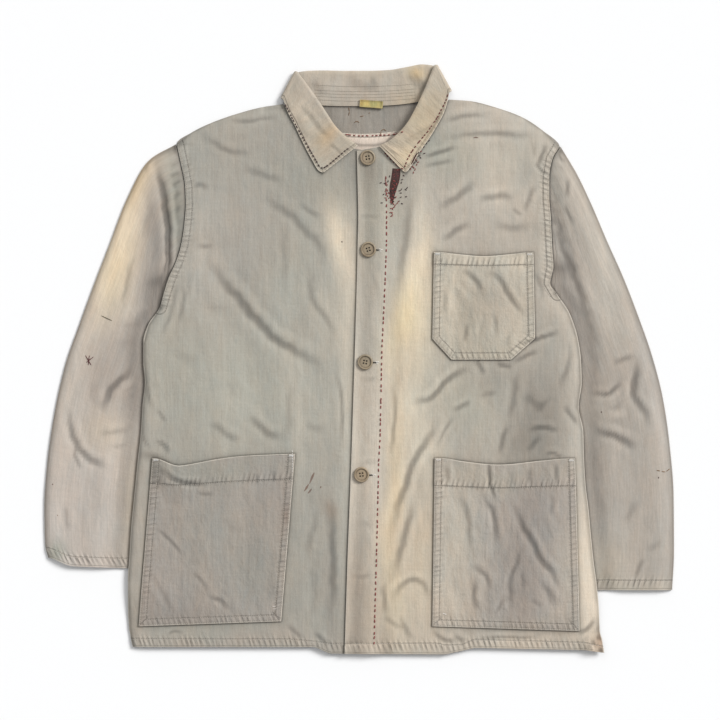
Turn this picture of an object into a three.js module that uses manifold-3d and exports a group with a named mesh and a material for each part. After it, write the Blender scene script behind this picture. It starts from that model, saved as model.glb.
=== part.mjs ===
// A cotton chore jacket laid flat on its back: buttoned, with its sleeves down and partly under the body.
// Millimetres. +X runs to the wearer's left, +Y to the collar, and +Z up from the surface that it lies on.
import * as THREE from "three";
import Module from "manifold-3d";

const wasm = await Module();
wasm.setup();

// Cloth and layers
const CLOTH = 1.2; // thickness of every cloth wall
const SEAM = 0.3; // clearance where pieces meet or lie on each other
const HEM_EXTRA = 0.8; // how far the turned hems stand above the single cloth
const HEM_DEPTH = 14; // turned hem at the skirt and at the cuffs

// How the panels lie
const FRONT_HOLLOW = 2.2; // space between the fronts and the back
const SLEEVE_HOLLOW = 2.4; // space between the two layers of a sleeve
const PRESSED_HOLLOW = 0.4; // the same where the body lies on the sleeve
const EDGE_ROLL = 26; // the hollow closes over this distance from a folded edge
const SLEEVE_RISE = 35; // the sleeve rises over this distance beside the body
const BACK_LIFT = 2 * CLOTH + PRESSED_HOLLOW + 2 * SEAM; // the back where it lies on a sleeve
const LIFT_PLATEAU = 42; // the back stays lifted this far past the hidden sleeve edge
const LIFT_RAMP = 70; // and comes down to the surface over this distance

// Front closure
const OVERLAP = 30; // the wearer's right front reaches this far under the left one
const OVERLAP_RAMP = 30; // the left front comes down again over this distance
const BUTTON_RADIUS = 10;
const BUTTON_THICKNESS = 3.4;
const BUTTON_INSET = 14; // from the placket's free edge to the button's middle
const BUTTON_YS = [263, 144, -2, -148];
const THREAD_HOLE_RADIUS = 0.95;
const THREAD_HOLE_SPACING = 3.6;

// Mesh steps
const STEP = { row: 1, sideCells: 2, pocketCells: 6, sleeve: 2, round: 20 };
const CLOSURE_COLUMNS = [60, 30, 15]; // distances of the fronts' last columns from their centre edge

// Rows of named columns
const table = (columns, rows) =>
  rows.map((row) => Object.fromEntries(columns.map((name, i) => [name, row[i]])));

// The placket's free edge, from the neck to the hem
const PLACKET = table(["x", "y"], [
  [-3, 272], [-1, 190], [-3, 100], [-6, 0], [-10, -125], [-15, -254], [-19, -382],
]);

// The hem line, from the wearer's right side to the left one
const HEM = table(["x", "y"], [
  [-294, -372], [-57, -372], [-38, -380.5], [112, -381.5], [150, -373], [294, -376], [318, -379],
]);

// Each front, row by row from the neck to the hem: its outer edge, and the neckline while neckX is given.
// Rows 5 to 14 are the armhole seam, and the rows above and below it are folded edges.
const HALF_COLUMNS = ["sideX", "sideY", "centreY", "neckX"];
const RIGHT_HALF = table(HALF_COLUMNS, [
  [-99, 333, 327, -89],
  [-126, 329, 320, -79],
  [-160, 320, 309, -69],
  [-191, 309, 297, -56],
  [-216, 297, 279, -26],
  [-237, 281, 270, 26],
  [-231, 254, 250, null],
  [-226, 228, 228, null],
  [-225, 202, 205, null],
  [-227, 176, 181, null],
  [-231, 150, 158, null],
  [-238, 127, 137, null],
  [-247, 107, 118, null],
  [-253, 88, 100, null],
  [-259, 68, 80, null],
  [-274, 46, 58, null],
  [-280, 23, 34, null],
  [-280, -2, 8, null],
  [-278, -28, -18, null],
  [-281, -58, -49, null],
  [-283, -92, -83, null],
  [-287, -127, -118, null],
  [-290, -158, -149, null],
  [-293, -188, -179, null],
  [-296, -220, -211, null],
  [-298, -253, -244, null],
  [-300, -285, -276, null],
  [-300, -317, -308, null],
  [-299, -345, -335.5, null],
  [-297, -358, -366, null],
  [-294, -372, -380, null],
]);
const LEFT_HALF = table(HALF_COLUMNS, [
  [117, 339, 331, 108],
  [144, 337, 322, 99],
  [183, 327, 310, 87],
  [212, 316, 297, 74],
  [237, 300, 283, 53],
  [261, 278, 272, -3],
  [251, 261, 252, null],
  [247, 237, 230, null],
  [247, 211, 207, null],
  [249, 185, 184, null],
  [250, 162, 162, null],
  [251, 140, 140.5, null],
  [252, 123, 124, null],
  [248, 101, 100, null],
  [257, 86, 84, null],
  [273, 62, 58, null],
  [284, 29, 28.5, null],
  [288, 1, 1, null],
  [289, -29, -29, null],
  [285, -60, -60, null],
  [291, -92, -91, null],
  [292, -127, -126, null],
  [294, -161, -160, null],
  [298, -194, -190, null],
  [301, -227, -222, null],
  [304, -257, -252, null],
  [308, -287, -282, null],
  [311, -317, -313, null],
  [313, -352, -341, null],
  [316, -365, -367, null],
  [318, -379, -380.5, null],
]);
const TIP_ROW = 5; // the shoulder's outer end, where the armhole seam starts
const UNDERARM_ROW = 14;

// The back's neckline, from the wearer's right to the left
const BACK_NECK = table(["x", "y"], [
  [-97, 331], [-51, 330.5], [0, 329.5], [32, 330], [79, 334], [113, 337],
]);
// Columns of each half of the back, as shares of the way from the side to the middle
const BACK_COLUMNS = [0, 0.08, 0.17, 0.28, 0.41, 0.58, 0.8];

// Sleeve sections from the armhole to the cuff: the outer fold and the fold hidden under the body.
// shape is how much of the armhole's curve the section keeps, and dip is how far its outer end curves to the cuff.
const SLEEVE_COLUMNS = ["outerX", "outerY", "innerX", "innerY", "shape", "dip"];
const RIGHT_SLEEVE = table(SLEEVE_COLUMNS, [
  [-237, 281, -259, 68, 1, 0],
  [-272, 260, -252, 52, 0.75, 0],
  [-300, 211, -243, 29, 0.5, 0],
  [-324, 149, -234, 3, 0.28, 0],
  [-344, 97, -227, -25, 0.12, 0],
  [-363, 45, -223, -57, 0.04, 0],
  [-381, -7, -221, -90, 0, 0],
  [-395, -70, -223, -127, 0, 0],
  [-404, -132, -228, -166, 0, 0],
  [-408, -190, -234, -207, 0, 0],
  [-407, -238, -242, -249, 0, 4],
  [-403, -256, -246, -272, 0, 9],
]);
const LEFT_SLEEVE = table(SLEEVE_COLUMNS, [
  [261, 278, 257, 86, 1, 0],
  [283, 241, 246, 66, 0.75, 0],
  [302, 201, 241, 43, 0.5, 0],
  [322, 154, 237, 14, 0.28, 0],
  [343, 107, 234, -20, 0.12, 0],
  [363, 55, 232, -57, 0.04, 0],
  [380, 6, 232, -96, 0, 0],
  [394, -49, 235, -137, 0, 0],
  [403, -111, 239, -179, 0, 0],
  [408, -176, 244, -220, 0, 0],
  [408.5, -246, 249, -262, 0, 0],
  [406, -298, 253, -298, 0, 0],
]);

// Patch pockets: the body rows that they are sewn along, from the mouth to the foot, and their two sides.
// The last row of the chest pocket is narrower, which cuts its lower corners off.
const POCKET_COLUMNS = ["row", "outerX", "innerX"];
const POCKETS = [
  {
    name: "pocket_chest",
    half: "left",
    sides: table(POCKET_COLUMNS, [[11, 226, 97], [16, 228, 95], [17, 197, 120]]),
    mouthSag: 5,
    gape: 1.2,
    gapeAt: 0.5,
  },
  {
    name: "pocket_lower_right",
    half: "right",
    sides: table(POCKET_COLUMNS, [[21, -268, -83], [28, -286, -101]]),
    mouthSag: 11,
    gape: 2.8,
    gapeAt: 0.14,
  },
  {
    name: "pocket_lower_left",
    half: "left",
    sides: table(POCKET_COLUMNS, [[21, 280, 98], [28, 286, 95]]),
    mouthSag: 8,
    gape: 1.6,
    gapeAt: 0.45,
  },
];
const POCKET_BULGE = 1.6;
const POCKET_BAND_EXTRA = 0.7; // the turned mouth band stands above the pocket's single cloth
const POCKET_BAND_ROWS = 1;

// Large creases: start, middle and end of each trough, its half width and its depth. A negative depth is a ridge.
const FOLD_COLUMNS = ["x0", "y0", "x1", "y1", "x2", "y2", "width", "depth"];
const BODY_FOLDS = table(FOLD_COLUMNS, [
  [-207, 138, -142, 68, -48, -20, 15, 2.1],
  [-220, 226, -191, 228, -161, 237, 10, 1],
  [-165, 315, -148, 310, -126, 315, 8, 0.9],
  [-135, -75, -118, -90, -96, -102, 10, 1.3],
  [-204, -54, -178, -84, -156, -102, 11, 1.3],
  [-272, -63, -262, -71, -248, -80, 8, 1.2],
  [-25, -25, -27, -181, -33, -350, 9, 1.7],
  [-52, -180, -55, -270, -50, -350, 11, -1.4],
  [100, 193, 134, 224, 181, 232, 11, 1.6],
  [112, 163, 155, 180, 209, 181, 10, 1.4],
  [216, 276, 229, 261, 242, 245, 9, 1.5],
  [64, 241, 61, 189, 56, 128, 10, 1.3],
  [105, 261, 144, 274, 196, 287, 13, 1.2],
  [75, -45, 95, -19, 126, -12, 11, 1.8],
  [211, 16, 233, 29, 259, 38, 8, 1.7],
  [192, -8, 199, -38, 194, -78, 14, 1.9],
  [228, -86, 244, -84, 261, -89, 9, 1.4],
  [262, -60, 272, -72, 281, -86, 8, 1.6],
  [46, -36, 43, -142, 34, -311, 10, 1.8],
  [95, -77, 69, -136, 48, -201, 10, 1.8],
  [38, -296, 56, -281, 82, -298, 9, 1.3],
]);
const SLEEVE_FOLDS = table(FOLD_COLUMNS, [
  [-255, 254, -251, 189, -254, 92, 9, 2.2],
  [-251, 276, -263, 264, -276, 240, 6, 1.4],
  [-285, -25, -313, -36, -333, -63, 10, 2.3],
  [-377, -58, -371, -98, -356, -134, 10, 1.8],
  [-342, -114, -321, -124, -300, -142, 11, 1.5],
  [264, 254, 277, 189, 298, 92, 12, 2.2],
  [300, 92, 302, 50, 299, 2, 13, 1.9],
  [296, -38, 317, -48, 338, -31, 9, 2.3],
  [298, -90, 319, -96, 342, -99, 10, 2],
  [322, 18, 342, 0, 368, -19, 13, -1.5],
]);
const POCKET_FOLDS = table(FOLD_COLUMNS, [
  [168, -138, 169, -181, 179, -236, 9, 1.2],
  [202, -194, 225, -233, 256, -279, 10, 1.4],
  [144, -272, 160, -275, 170, -292, 9, 1],
  [211, -236, 187, -272, 178, -326, 10, 1.3],
  [161, 116, 191, 89, 218, 56, 9, 1.2],
  [-204, -278, -189, -298, -172, -326, 10, 0.9],
]);

// Collar sections, from the wearer's right front end round the neck to the left one: the neck seam, the roll line
// and the outer edge. side is 1 on a front, -1 behind the neck, and between them where the collar turns the corner
// of the neck. roll is the height of the roll line, and drop is how far the outer edge has settled on the front.
const COLLAR = table(["neckX", "neckY", "foldX", "foldY", "edgeX", "edgeY", "side", "roll", "drop"], [
  [-12, 280, -2, 278, -48, 242, 1, 1, 1],
  [-23, 282.5, -10, 284, -54, 248, 1, 3.5, 1],
  [-35, 287, -20, 292, -61, 260, 1, 5, 1],
  [-47, 294.5, -31, 303, -69, 275, 1, 5.5, 1],
  [-58, 303, -41, 318, -77, 291, 1, 5, 1],
  [-68, 313.5, -52, 335, -85, 308, 1, 3.5, 1],
  [-79, 326, -66, 355, -93, 323, 1, 1.5, 0.6],
  [-87, 337, -80, 374, -98.5, 339, 1, 0, 0],
  [-87, 337, -80, 374, -98.5, 339, 0.5, 0, 0],
  [-87, 337, -80, 374, -98.5, 339, 0, 0, 0],
  [-87, 337, -80, 374, -98.5, 339, -0.5, 0, 0],
  [-87, 337, -80, 374, -98.5, 339, -1, 0, 0],
  [-72, 334, -66, 376, -80, 337.5, -1, 0, 0],
  [-50, 331.5, -45, 376.5, -54, 335.5, -1, 0, 0],
  [-20, 330.5, -18, 376, -22, 334.5, -1, 0, 0],
  [10, 330.5, 12, 376, 9, 334.5, -1, 0, 0],
  [40, 331.5, 38, 377, 41, 335.5, -1, 0, 0],
  [65, 334, 62, 381, 67, 338, -1, 0, 0],
  [87, 338, 82, 384.5, 92, 342, -1, 0, 0],
  [105, 343.5, 98, 382.5, 117, 348, -1, 0, 0],
  [105, 343.5, 98, 382.5, 117, 348, -0.5, 0, 0],
  [105, 343.5, 98, 382.5, 117, 348, 0, 0, 0],
  [105, 343.5, 98, 382.5, 117, 348, 0.5, 0, 0],
  [105, 343.5, 98, 382.5, 117, 348, 1, 0, 0],
  [99, 332, 91, 364, 115, 337, 1, 1.5, 0.6],
  [90, 320, 83, 345, 110, 321, 1, 3.5, 1],
  [80, 309, 74, 326, 102, 306, 1, 5, 1],
  [68, 298, 64, 308, 93, 291, 1, 5.5, 1],
  [55, 289.5, 53, 295, 84, 278, 1, 5, 1],
  [45, 286, 43, 286, 76, 266, 1, 4, 1],
  [38, 284, 34, 280.5, 69, 254, 1, 2.5, 1],
  [35, 282.5, 26, 278, 60.5, 242, 1, 1, 1],
]);
// Places across the collar: stand from 0 at the neck seam to 1 at the roll line, then fall from 0 to 1 at the edge
const COLLAR_STAND = [0, 0.5, 0.95];
const COLLAR_FALL = [0.03, 0.3, 0.6, 0.84, 1];

// Small pieces
const PATCH = table(["leftX", "leftY", "rightX", "rightY"], [
  [-30, 296, 62, 300],
  [-30, 284, 64, 288],
  [-32, 268, 62, 270],
  [-30, 250, 58, 252],
]);
const LABEL = { x: 16, y: 333, width: 30, depth: 9, turn: -0.08 };

const clamp = (value, low, high) => Math.min(high, Math.max(low, value));
const smooth = (t) => clamp(t, 0, 1) ** 2 * (3 - 2 * clamp(t, 0, 1));
const mix = (a, b, t) => a + (b - a) * t;

// y of a line of { x, y } points at x, with along and across naming its columns the other way round when needed
function lineAt(points, at, along = "x", across = "y") {
  const rising = points[1][along] > points[0][along];
  const line = rising ? points : [...points].reverse();
  const first = line.findIndex((p, i) => i > 0 && (p[along] >= at || i === line.length - 1));
  const [p, q] = [line[first - 1], line[first]];
  return mix(p[across], q[across], clamp((at - p[along]) / (q[along] - p[along]), 0, 1));
}

// Distance from (x, y) to the segment a to b, and how far along it the nearest point lies
function toSegment(x, y, a, b) {
  const [dx, dy] = [b.x - a.x, b.y - a.y];
  const t = clamp(((x - a.x) * dx + (y - a.y) * dy) / (dx * dx + dy * dy), 0, 1);
  return { distance: Math.hypot(x - a.x - t * dx, y - a.y - t * dy), t };
}

const toLine = (x, y, line) =>
  Math.min(...line.slice(1).map((b, i) => toSegment(x, y, line[i], b).distance));

// A table's columns at a fractional row, on a Catmull-Rom curve through its rows
function along(rows, position) {
  const i = clamp(Math.floor(position), 0, rows.length - 2);
  const t = position - i;
  const [a, b, c, d] = [i - 1, i, i + 1, i + 2].map((k) => rows[clamp(k, 0, rows.length - 1)]);
  const curve = (p, q, r, s) =>
    q + (t * (r - p + t * (2 * p - 5 * q + 4 * r - s + t * (3 * (q - r) + s - p)))) / 2;
  return Object.fromEntries(Object.keys(b).map((k) => [k, curve(a[k], b[k], c[k], d[k])]));
}

const side = (rows) => rows.map((row) => ({ x: row.sideX, y: row.sideY }));
const HALVES = {
  right: { rows: RIGHT_HALF, sleeve: RIGHT_SLEEVE, out: -1 },
  left: { rows: LEFT_HALF, sleeve: LEFT_SLEEVE, out: 1 },
};
for (const half of Object.values(HALVES)) {
  half.side = side(half.rows);
  half.foldedEdges = [half.side.slice(0, TIP_ROW + 1), half.side.slice(UNDERARM_ROW)];
  half.hiddenEdge = half.sleeve.map((row) => ({ x: row.innerX, y: row.innerY }));
}
const halfAt = (x) => (x < 0 ? HALVES.right : HALVES.left);

// Height added by a table of creases. Each has a soft lip on both sides.
function creases(folds, x, y) {
  const LIP = 0.45;
  const TAPER = 0.25;
  return folds.reduce((height, fold) => {
    const middle = { x: fold.x1, y: fold.y1 };
    const first = toSegment(x, y, { x: fold.x0, y: fold.y0 }, middle);
    const second = toSegment(x, y, middle, { x: fold.x2, y: fold.y2 });
    const near = first.distance < second.distance ? first : second;
    const place = (near === first ? near.t : 1 + near.t) / 2;
    const across = near.distance / fold.width;
    const shape = Math.exp(-across * across) - LIP * Math.exp(-((across - 1.9) ** 2));
    return height - fold.depth * shape * smooth(Math.min(place, 1 - place) / TAPER + 0.15);
  }, 0);
}

// How high the back lies above the surface: only where a sleeve passes under it
function backLift(x, y) {
  const half = halfAt(x);
  const hidden = half.hiddenEdge;
  const edge = lineAt(hidden, clamp(y, hidden.at(-1).y, hidden[0].y), "y", "x");
  const inward = (edge - x) * half.out;
  const across = 1 - smooth((inward - LIFT_PLATEAU) / LIFT_RAMP);
  const above = smooth((half.side[UNDERARM_ROW].y + 92 - y) / 62);
  const below = smooth((y - hidden.at(-1).y + 72) / 56);
  return BACK_LIFT * across * above * below;
}

// Space under the fronts, closing towards the folded side and shoulder edges
function frontHollow(x, y) {
  const reach = Math.min(...halfAt(x).foldedEdges.map((line) => toLine(x, y, line)));
  const open = smooth(reach / EDGE_ROLL);
  const placket = lineAt(PLACKET, y, "y", "x");
  const buttoned = smooth(Math.abs(x - placket - BUTTON_INSET) / 22);
  return Math.max(0, FRONT_HOLLOW * open + creases(BODY_FOLDS, x, y) * open * mix(0.25, 1, buttoned));
}

const hemExtra = (x, y) => (y < lineAt(HEM, x) + HEM_DEPTH + 1 ? HEM_EXTRA : 0);

// Underside of a front at a place. The left front lies on the right one at the closure.
function frontUnder(name, x, y) {
  const past = x - lineAt(PLACKET, y, "y", "x") - OVERLAP;
  const lap = CLOTH + SEAM + hemExtra(x, y);
  const over = name === "left" ? lap * (1 - smooth(past / OVERLAP_RAMP)) : 0;
  return backLift(x, y) + CLOTH + SEAM + frontHollow(x, y) + over;
}
const frontTop = (name, x, y) => frontUnder(name, x, y) + CLOTH;

// Top of a sleeve: full beside the body, pressed flat where the body lies on it
function sleeveTop(half, x, y, fromEdge) {
  const sideX = lineAt(half.side, y, "y", "x");
  const beside = (x - sideX) * half.out;
  const belowArmhole = smooth((half.side[UNDERARM_ROW].y + 60 - y) / 30);
  const free = mix(1, smooth((beside - 9) / SLEEVE_RISE), belowArmhole);
  const open = smooth(fromEdge / EDGE_ROLL);
  const hollow = SLEEVE_HOLLOW * open + creases(SLEEVE_FOLDS, x, y) * open;
  return 2 * CLOTH + mix(PRESSED_HOLLOW, Math.max(PRESSED_HOLLOW, hollow), free);
}

const point = (x, y, z) => new THREE.Vector3(x, y, z);

// Geometry of a closed mesh from points and quads, turned to face out
function closed(points, quads) {
  const index = quads.flatMap(([a, b, c, d]) => [a, b, c, a, c, d]);
  let volume = 0;
  for (let i = 0; i < index.length; i += 3) {
    const [a, b, c] = index.slice(i, i + 3).map((k) => points[k]);
    volume += a.dot(b.clone().cross(c));
  }
  const geometry = new THREE.BufferGeometry().setFromPoints(points);
  return geometry.setIndex(volume < 0 ? index.reverse() : index);
}

// A cloth wall between two grids of points, [row][column]
function wall(lower, upper) {
  const [rows, columns] = [lower.length, lower[0].length];
  const low = (r, c) => r * columns + c;
  const up = (r, c) => rows * columns + low(r, c);
  const quads = [];
  for (let r = 0; r < rows - 1; r++)
    for (let c = 0; c < columns - 1; c++) {
      quads.push([low(r, c), low(r + 1, c), low(r + 1, c + 1), low(r, c + 1)]);
      quads.push([up(r, c), up(r, c + 1), up(r + 1, c + 1), up(r + 1, c)]);
    }
  for (let r = 0; r < rows - 1; r++) {
    quads.push([low(r, 0), up(r, 0), up(r + 1, 0), low(r + 1, 0)]);
    quads.push([low(r + 1, columns - 1), up(r + 1, columns - 1), up(r, columns - 1), low(r, columns - 1)]);
  }
  for (let c = 0; c < columns - 1; c++) {
    quads.push([low(0, c + 1), up(0, c + 1), up(0, c), low(0, c)]);
    quads.push([low(rows - 1, c), up(rows - 1, c), up(rows - 1, c + 1), low(rows - 1, c + 1)]);
  }
  return closed([...lower.flat(), ...upper.flat()], quads);
}

// A tube wall between outer and inner rings, [section][place round the ring], open at both ends
function tube(outer, inner) {
  const [sections, around] = [outer.length, outer[0].length];
  const out = (s, k) => s * around + (k % around);
  const within = (s, k) => sections * around + out(s, k);
  const quads = [];
  for (let s = 0; s < sections - 1; s++)
    for (let k = 0; k < around; k++) {
      quads.push([out(s, k), out(s, k + 1), out(s + 1, k + 1), out(s + 1, k)]);
      quads.push([within(s + 1, k), within(s + 1, k + 1), within(s, k + 1), within(s, k)]);
    }
  for (let k = 0; k < around; k++) {
    quads.push([within(0, k), within(0, k + 1), out(0, k + 1), out(0, k)]);
    quads.push([out(sections - 1, k), out(sections - 1, k + 1), within(sections - 1, k + 1), within(sections - 1, k)]);
  }
  return closed([...outer.flat(), ...inner.flat()], quads);
}

// Where a half's pocket guides lie in each row, as shares of the way from the side to the centre edge
function guideShares(name, centreX) {
  const { rows } = HALVES[name];
  const shares = rows.map(() => null);
  for (const pocket of POCKETS.filter((p) => p.half === name)) {
    const [first, last] = [pocket.sides[0].row, pocket.sides.at(-1).row];
    for (let r = first; r <= last; r++) {
      const across = (column) => lineAt(pocket.sides, r, "row", column);
      const share = (x) => (x - rows[r].sideX) / (centreX[r] - rows[r].sideX);
      shares[r] = [share(across("outerX")), share(across("innerX"))];
    }
  }
  const known = shares.map((share, r) => ({ r, share })).filter((k) => k.share);
  return shares.map((share, r) => {
    if (share) return share;
    const before = known.filter((k) => k.r < r).at(-1) ?? known[0];
    const after = known.find((k) => k.r > r) ?? known.at(-1);
    const t = before === after ? 0 : (r - before.r) / (after.r - before.r);
    return [0, 1].map((i) => mix(before.share[i], after.share[i], t));
  });
}

// Plan points of a front, [row][column], with columns that follow the pockets' sides
function frontPlan(name) {
  const { rows } = HALVES[name];
  const lap = name === "right" ? OVERLAP : 0;
  const centreX = rows.map((row) => row.neckX ?? lineAt(PLACKET, row.centreY, "y", "x") + lap);
  const shares = guideShares(name, centreX);
  const plan = [];
  for (let step = 0; step <= (rows.length - 1) * STEP.row; step++) {
    const r = Math.min(Math.floor(step / STEP.row), rows.length - 2);
    const t = step / STEP.row - r;
    const between = (values) => mix(values[r], values[r + 1], t);
    const sideX = between(rows.map((row) => row.sideX));
    const sideY = between(rows.map((row) => row.sideY));
    const middleX = between(centreX);
    const middleY = between(rows.map((row) => row.centreY));
    const outer = between(shares.map((share) => share[0]));
    const inner = between(shares.map((share) => share[1]));
    const nearClosure = CLOSURE_COLUMNS.map((distance, i) => {
      const even = mix(inner, 1, (i + 1) / (CLOSURE_COLUMNS.length + 1));
      return Math.max(even, 1 - distance / Math.abs(sideX - middleX));
    });
    const places = [
      ...spread(0, outer, STEP.sideCells),
      ...spread(outer, inner, STEP.pocketCells),
      inner,
      ...nearClosure,
      1,
    ];
    plan.push(places.map((share) => {
      const x = mix(sideX, middleX, share);
      const y = mix(sideY, middleY, share);
      const hem = lineAt(HEM, x);
      const fromHem = rows.length - 1 - step / STEP.row;
      const atHem = hem + fromHem * HEM_DEPTH;
      return { x, y: fromHem < 2 ? mix(atHem, y, smooth(fromHem - 1)) : y };
    }));
  }
  return plan;
}

// count places from start up to, but not at, end
const spread = (start, end, count) =>
  Array.from({ length: count }, (_, i) => mix(start, end, i / count));

function front(name) {
  const plan = frontPlan(name);
  const grid = (height) => plan.map((row) => row.map(({ x, y }) => point(x, y, height(x, y))));
  const under = (x, y) => frontUnder(name, x, y);
  return wall(grid(under), grid((x, y) => under(x, y) + CLOTH + hemExtra(x, y)));
}

function back() {
  const last = RIGHT_HALF.length - 1;
  const plan = RIGHT_HALF.map((right, r) => {
    const left = LEFT_HALF[r];
    const middleX = (right.sideX + left.sideX) / 2;
    const places = [
      ...BACK_COLUMNS.map((share) => mix(right.sideX, middleX, share)),
      ...BACK_COLUMNS.map((share) => mix(left.sideX, middleX, share)).reverse(),
    ];
    return places.map((x) => {
      const y = mix(right.sideY, left.sideY, (x - right.sideX) / (left.sideX - right.sideX));
      if (r === 0) return { x, y: lineAt(BACK_NECK, x) };
      return { x, y: r === last ? lineAt(HEM, x) : r === last - 1 ? lineAt(HEM, x) + HEM_DEPTH : y };
    });
  });
  const grid = (extra) => plan.map((row) => row.map(({ x, y }) => point(x, y, backLift(x, y) + extra)));
  return wall(grid(0), grid(CLOTH));
}

// A sleeve: rings that start along the armhole seam and end at the cuff
function sleeve(name) {
  const half = HALVES[name];
  const armhole = half.side.slice(TIP_ROW, UNDERARM_ROW + 1).map((p, row) => ({ ...p, row }));
  const last = armhole.length - 1;
  const CLEAR = 3 * SEAM; // beside the body's armhole edge
  const places = [0, 0.03, ...spread(1 / last, 1, last - 1), 0.97, 1];
  const turn = (share) => smooth(share / 0.22) * (1 - share) * 1.1;
  const outer = [];
  const inner = [];
  for (let step = 0; step <= (half.sleeve.length - 1) * STEP.sleeve; step++) {
    const section = along(half.sleeve, step / STEP.sleeve);
    const width = Math.hypot(section.outerX - section.innerX, section.outerY - section.innerY);
    const plan = (share) => {
      const at = { x: lineAt(armhole, share * last, "row", "x"), y: lineAt(armhole, share * last, "row", "y") };
      const bow = {
        x: at.x - mix(armhole[0].x, armhole[last].x, share),
        y: at.y - mix(armhole[0].y, armhole[last].y, share),
      };
      return {
        x: mix(section.outerX, section.innerX, share) + bow.x * section.shape + CLEAR * half.out,
        y: mix(section.outerY, section.innerY, share) + bow.y * section.shape - section.dip * turn(share),
      };
    };
    const top = places.map((share) => {
      const { x, y } = plan(share);
      const fromEdge = Math.min(share, 1 - share) * width + (step === 0 ? EDGE_ROLL * 0.5 : 0);
      return point(x, y, sleeveTop(half, x, y, fromEdge));
    });
    const insetShare = (share) => clamp(share, CLOTH / width, 1 - CLOTH / width);
    const ceiling = places.map((share, k) => {
      const { x, y } = plan(insetShare(share));
      return point(x, y, top[k].z - CLOTH);
    });
    const flat = (points, z) => points.map((p) => point(p.x, p.y, z)).reverse();
    outer.push([...top, ...flat(top, 0)]);
    inner.push([...ceiling, ...flat(ceiling, CLOTH)]);
  }
  return tube(outer, inner);
}

// A patch pocket, made from the front's own points between its guides, moved up
function pocket({ name, half, sides, mouthSag, gape, gapeAt }) {
  const plan = frontPlan(half);
  const [first, last] = [sides[0].row * STEP.row, sides.at(-1).row * STEP.row];
  const rows = plan.slice(first, last + 1)
    .map((row) => row.slice(STEP.sideCells, STEP.sideCells + STEP.pocketCells + 1));
  const under = (x, y, r, c) => {
    const down = r / (rows.length - 1);
    const across = c / STEP.pocketCells;
    const inside = Math.sin(Math.PI * across) * smooth((1 - down) * 3);
    const opening = gape * Math.exp(-(((across - gapeAt) / 0.2) ** 2)) * smooth(1 - down * 4) * smooth(across * 8) * smooth((1 - across) * 8);
    const fold = creases(POCKET_FOLDS, x, y) * inside;
    return frontTop(half, x, y) + SEAM + Math.max(0, POCKET_BULGE * inside + fold) + opening;
  };
  const sagged = rows.map((row, r) =>
    row.map(({ x, y }, c) => {
      const across = c / STEP.pocketCells;
      const dip = mouthSag * Math.exp(-(((across - gapeAt) / 0.3) ** 2)) * smooth(across * 5) * smooth((1 - across) * 5);
      return { x, y: y - (r === 0 ? dip : 0) };
    }),
  );
  const lower = sagged.map((row, r) => row.map(({ x, y }, c) => point(x, y, under(x, y, r, c))));
  const thickness = (r) => CLOTH + (r <= POCKET_BAND_ROWS * STEP.row ? POCKET_BAND_EXTRA : 0);
  const upper = lower.map((row, r) => row.map((p) => point(p.x, p.y, p.z + thickness(r))));
  return [name, wall(lower, upper)];
}

// The collar: a stand and a fall joined at the roll line, bent round the neck
function collar() {
  const LAYER = CLOTH + SEAM;
  const backStand = CLOTH / 2 + LAYER;
  const backFall = CLOTH / 2;
  const restingOn = (x, y) => {
    const name = x < 0 ? "right" : "left";
    return frontTop(name, x, y) + CLOTH / 2 + 2.4 * SEAM;
  };
  const middle = COLLAR.map((row) => {
    const neck = { x: row.neckX, y: row.neckY };
    const fold = { x: row.foldX, y: row.foldY };
    const edge = { x: row.edgeX, y: row.edgeY };
    const onFront = restingOn(mix(neck.x, edge.x, 0.5), mix(neck.y, edge.y, 0.5));
    const stand = onFront;
    const angle = (row.side * Math.PI) / 2;
    const outward = new THREE.Vector2(edge.y - fold.y, fold.x - edge.x).normalize();
    if (outward.x * Math.sign(fold.x) < 0) outward.negate();
    const place = (from, to, share, low, high, lift) => {
      const radius = (high - low) / 2;
      const x = mix(from.x, to.x, share) + outward.x * radius * Math.cos(angle);
      const y = mix(from.y, to.y, share) + outward.y * radius * Math.cos(angle);
      return point(x, y, (high + low) / 2 + radius * Math.sin(angle) + lift);
    };
    const overStand = Math.min(0.8, Math.hypot(neck.x - fold.x, neck.y - fold.y) / Math.hypot(edge.x - fold.x, edge.y - fold.y));
    const roll = (share) => row.roll * share ** 1.4;
    const standPoints = COLLAR_STAND.map((share) => place(neck, fold, share, backStand, stand, roll(share)));
    const fallPoints = COLLAR_FALL.map((share) => {
      const settle = row.drop * smooth((share - overStand) / (1 - overStand + 0.05));
      const ground = row.side === 1 ? restingOn(mix(fold.x, edge.x, share), mix(fold.y, edge.y, share)) : stand;
      const level = mix(stand, ground, row.drop * smooth(share / overStand)) + LAYER * (1 - settle);
      return place(fold, edge, share, backFall, level, roll(1 - share));
    });
    const tip = standPoints.at(-1).clone().add(fallPoints[0]).multiplyScalar(0.5);
    const reach = new THREE.Vector2(fold.x - edge.x, fold.y - edge.y).normalize().multiplyScalar(LAYER * 0.9);
    tip.add(point(reach.x, reach.y, 0));
    return [...standPoints, tip, ...fallPoints];
  });
  const [rows, columns] = [middle.length, middle[0].length];
  const at = (r, c) => middle[clamp(r, 0, rows - 1)][clamp(c, 0, columns - 1)];
  const offset = (sign) => middle.map((row, r) => row.map((p, c) => {
    const alongRow = at(r + 1, c).clone().sub(at(r - 1, c));
    const acrossRow = at(r, c + 1).clone().sub(at(r, c - 1));
    const normal = alongRow.cross(acrossRow).normalize();
    return p.clone().addScaledVector(normal, (sign * CLOTH) / 2);
  }));
  return wall(offset(-1), offset(1));
}

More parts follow.
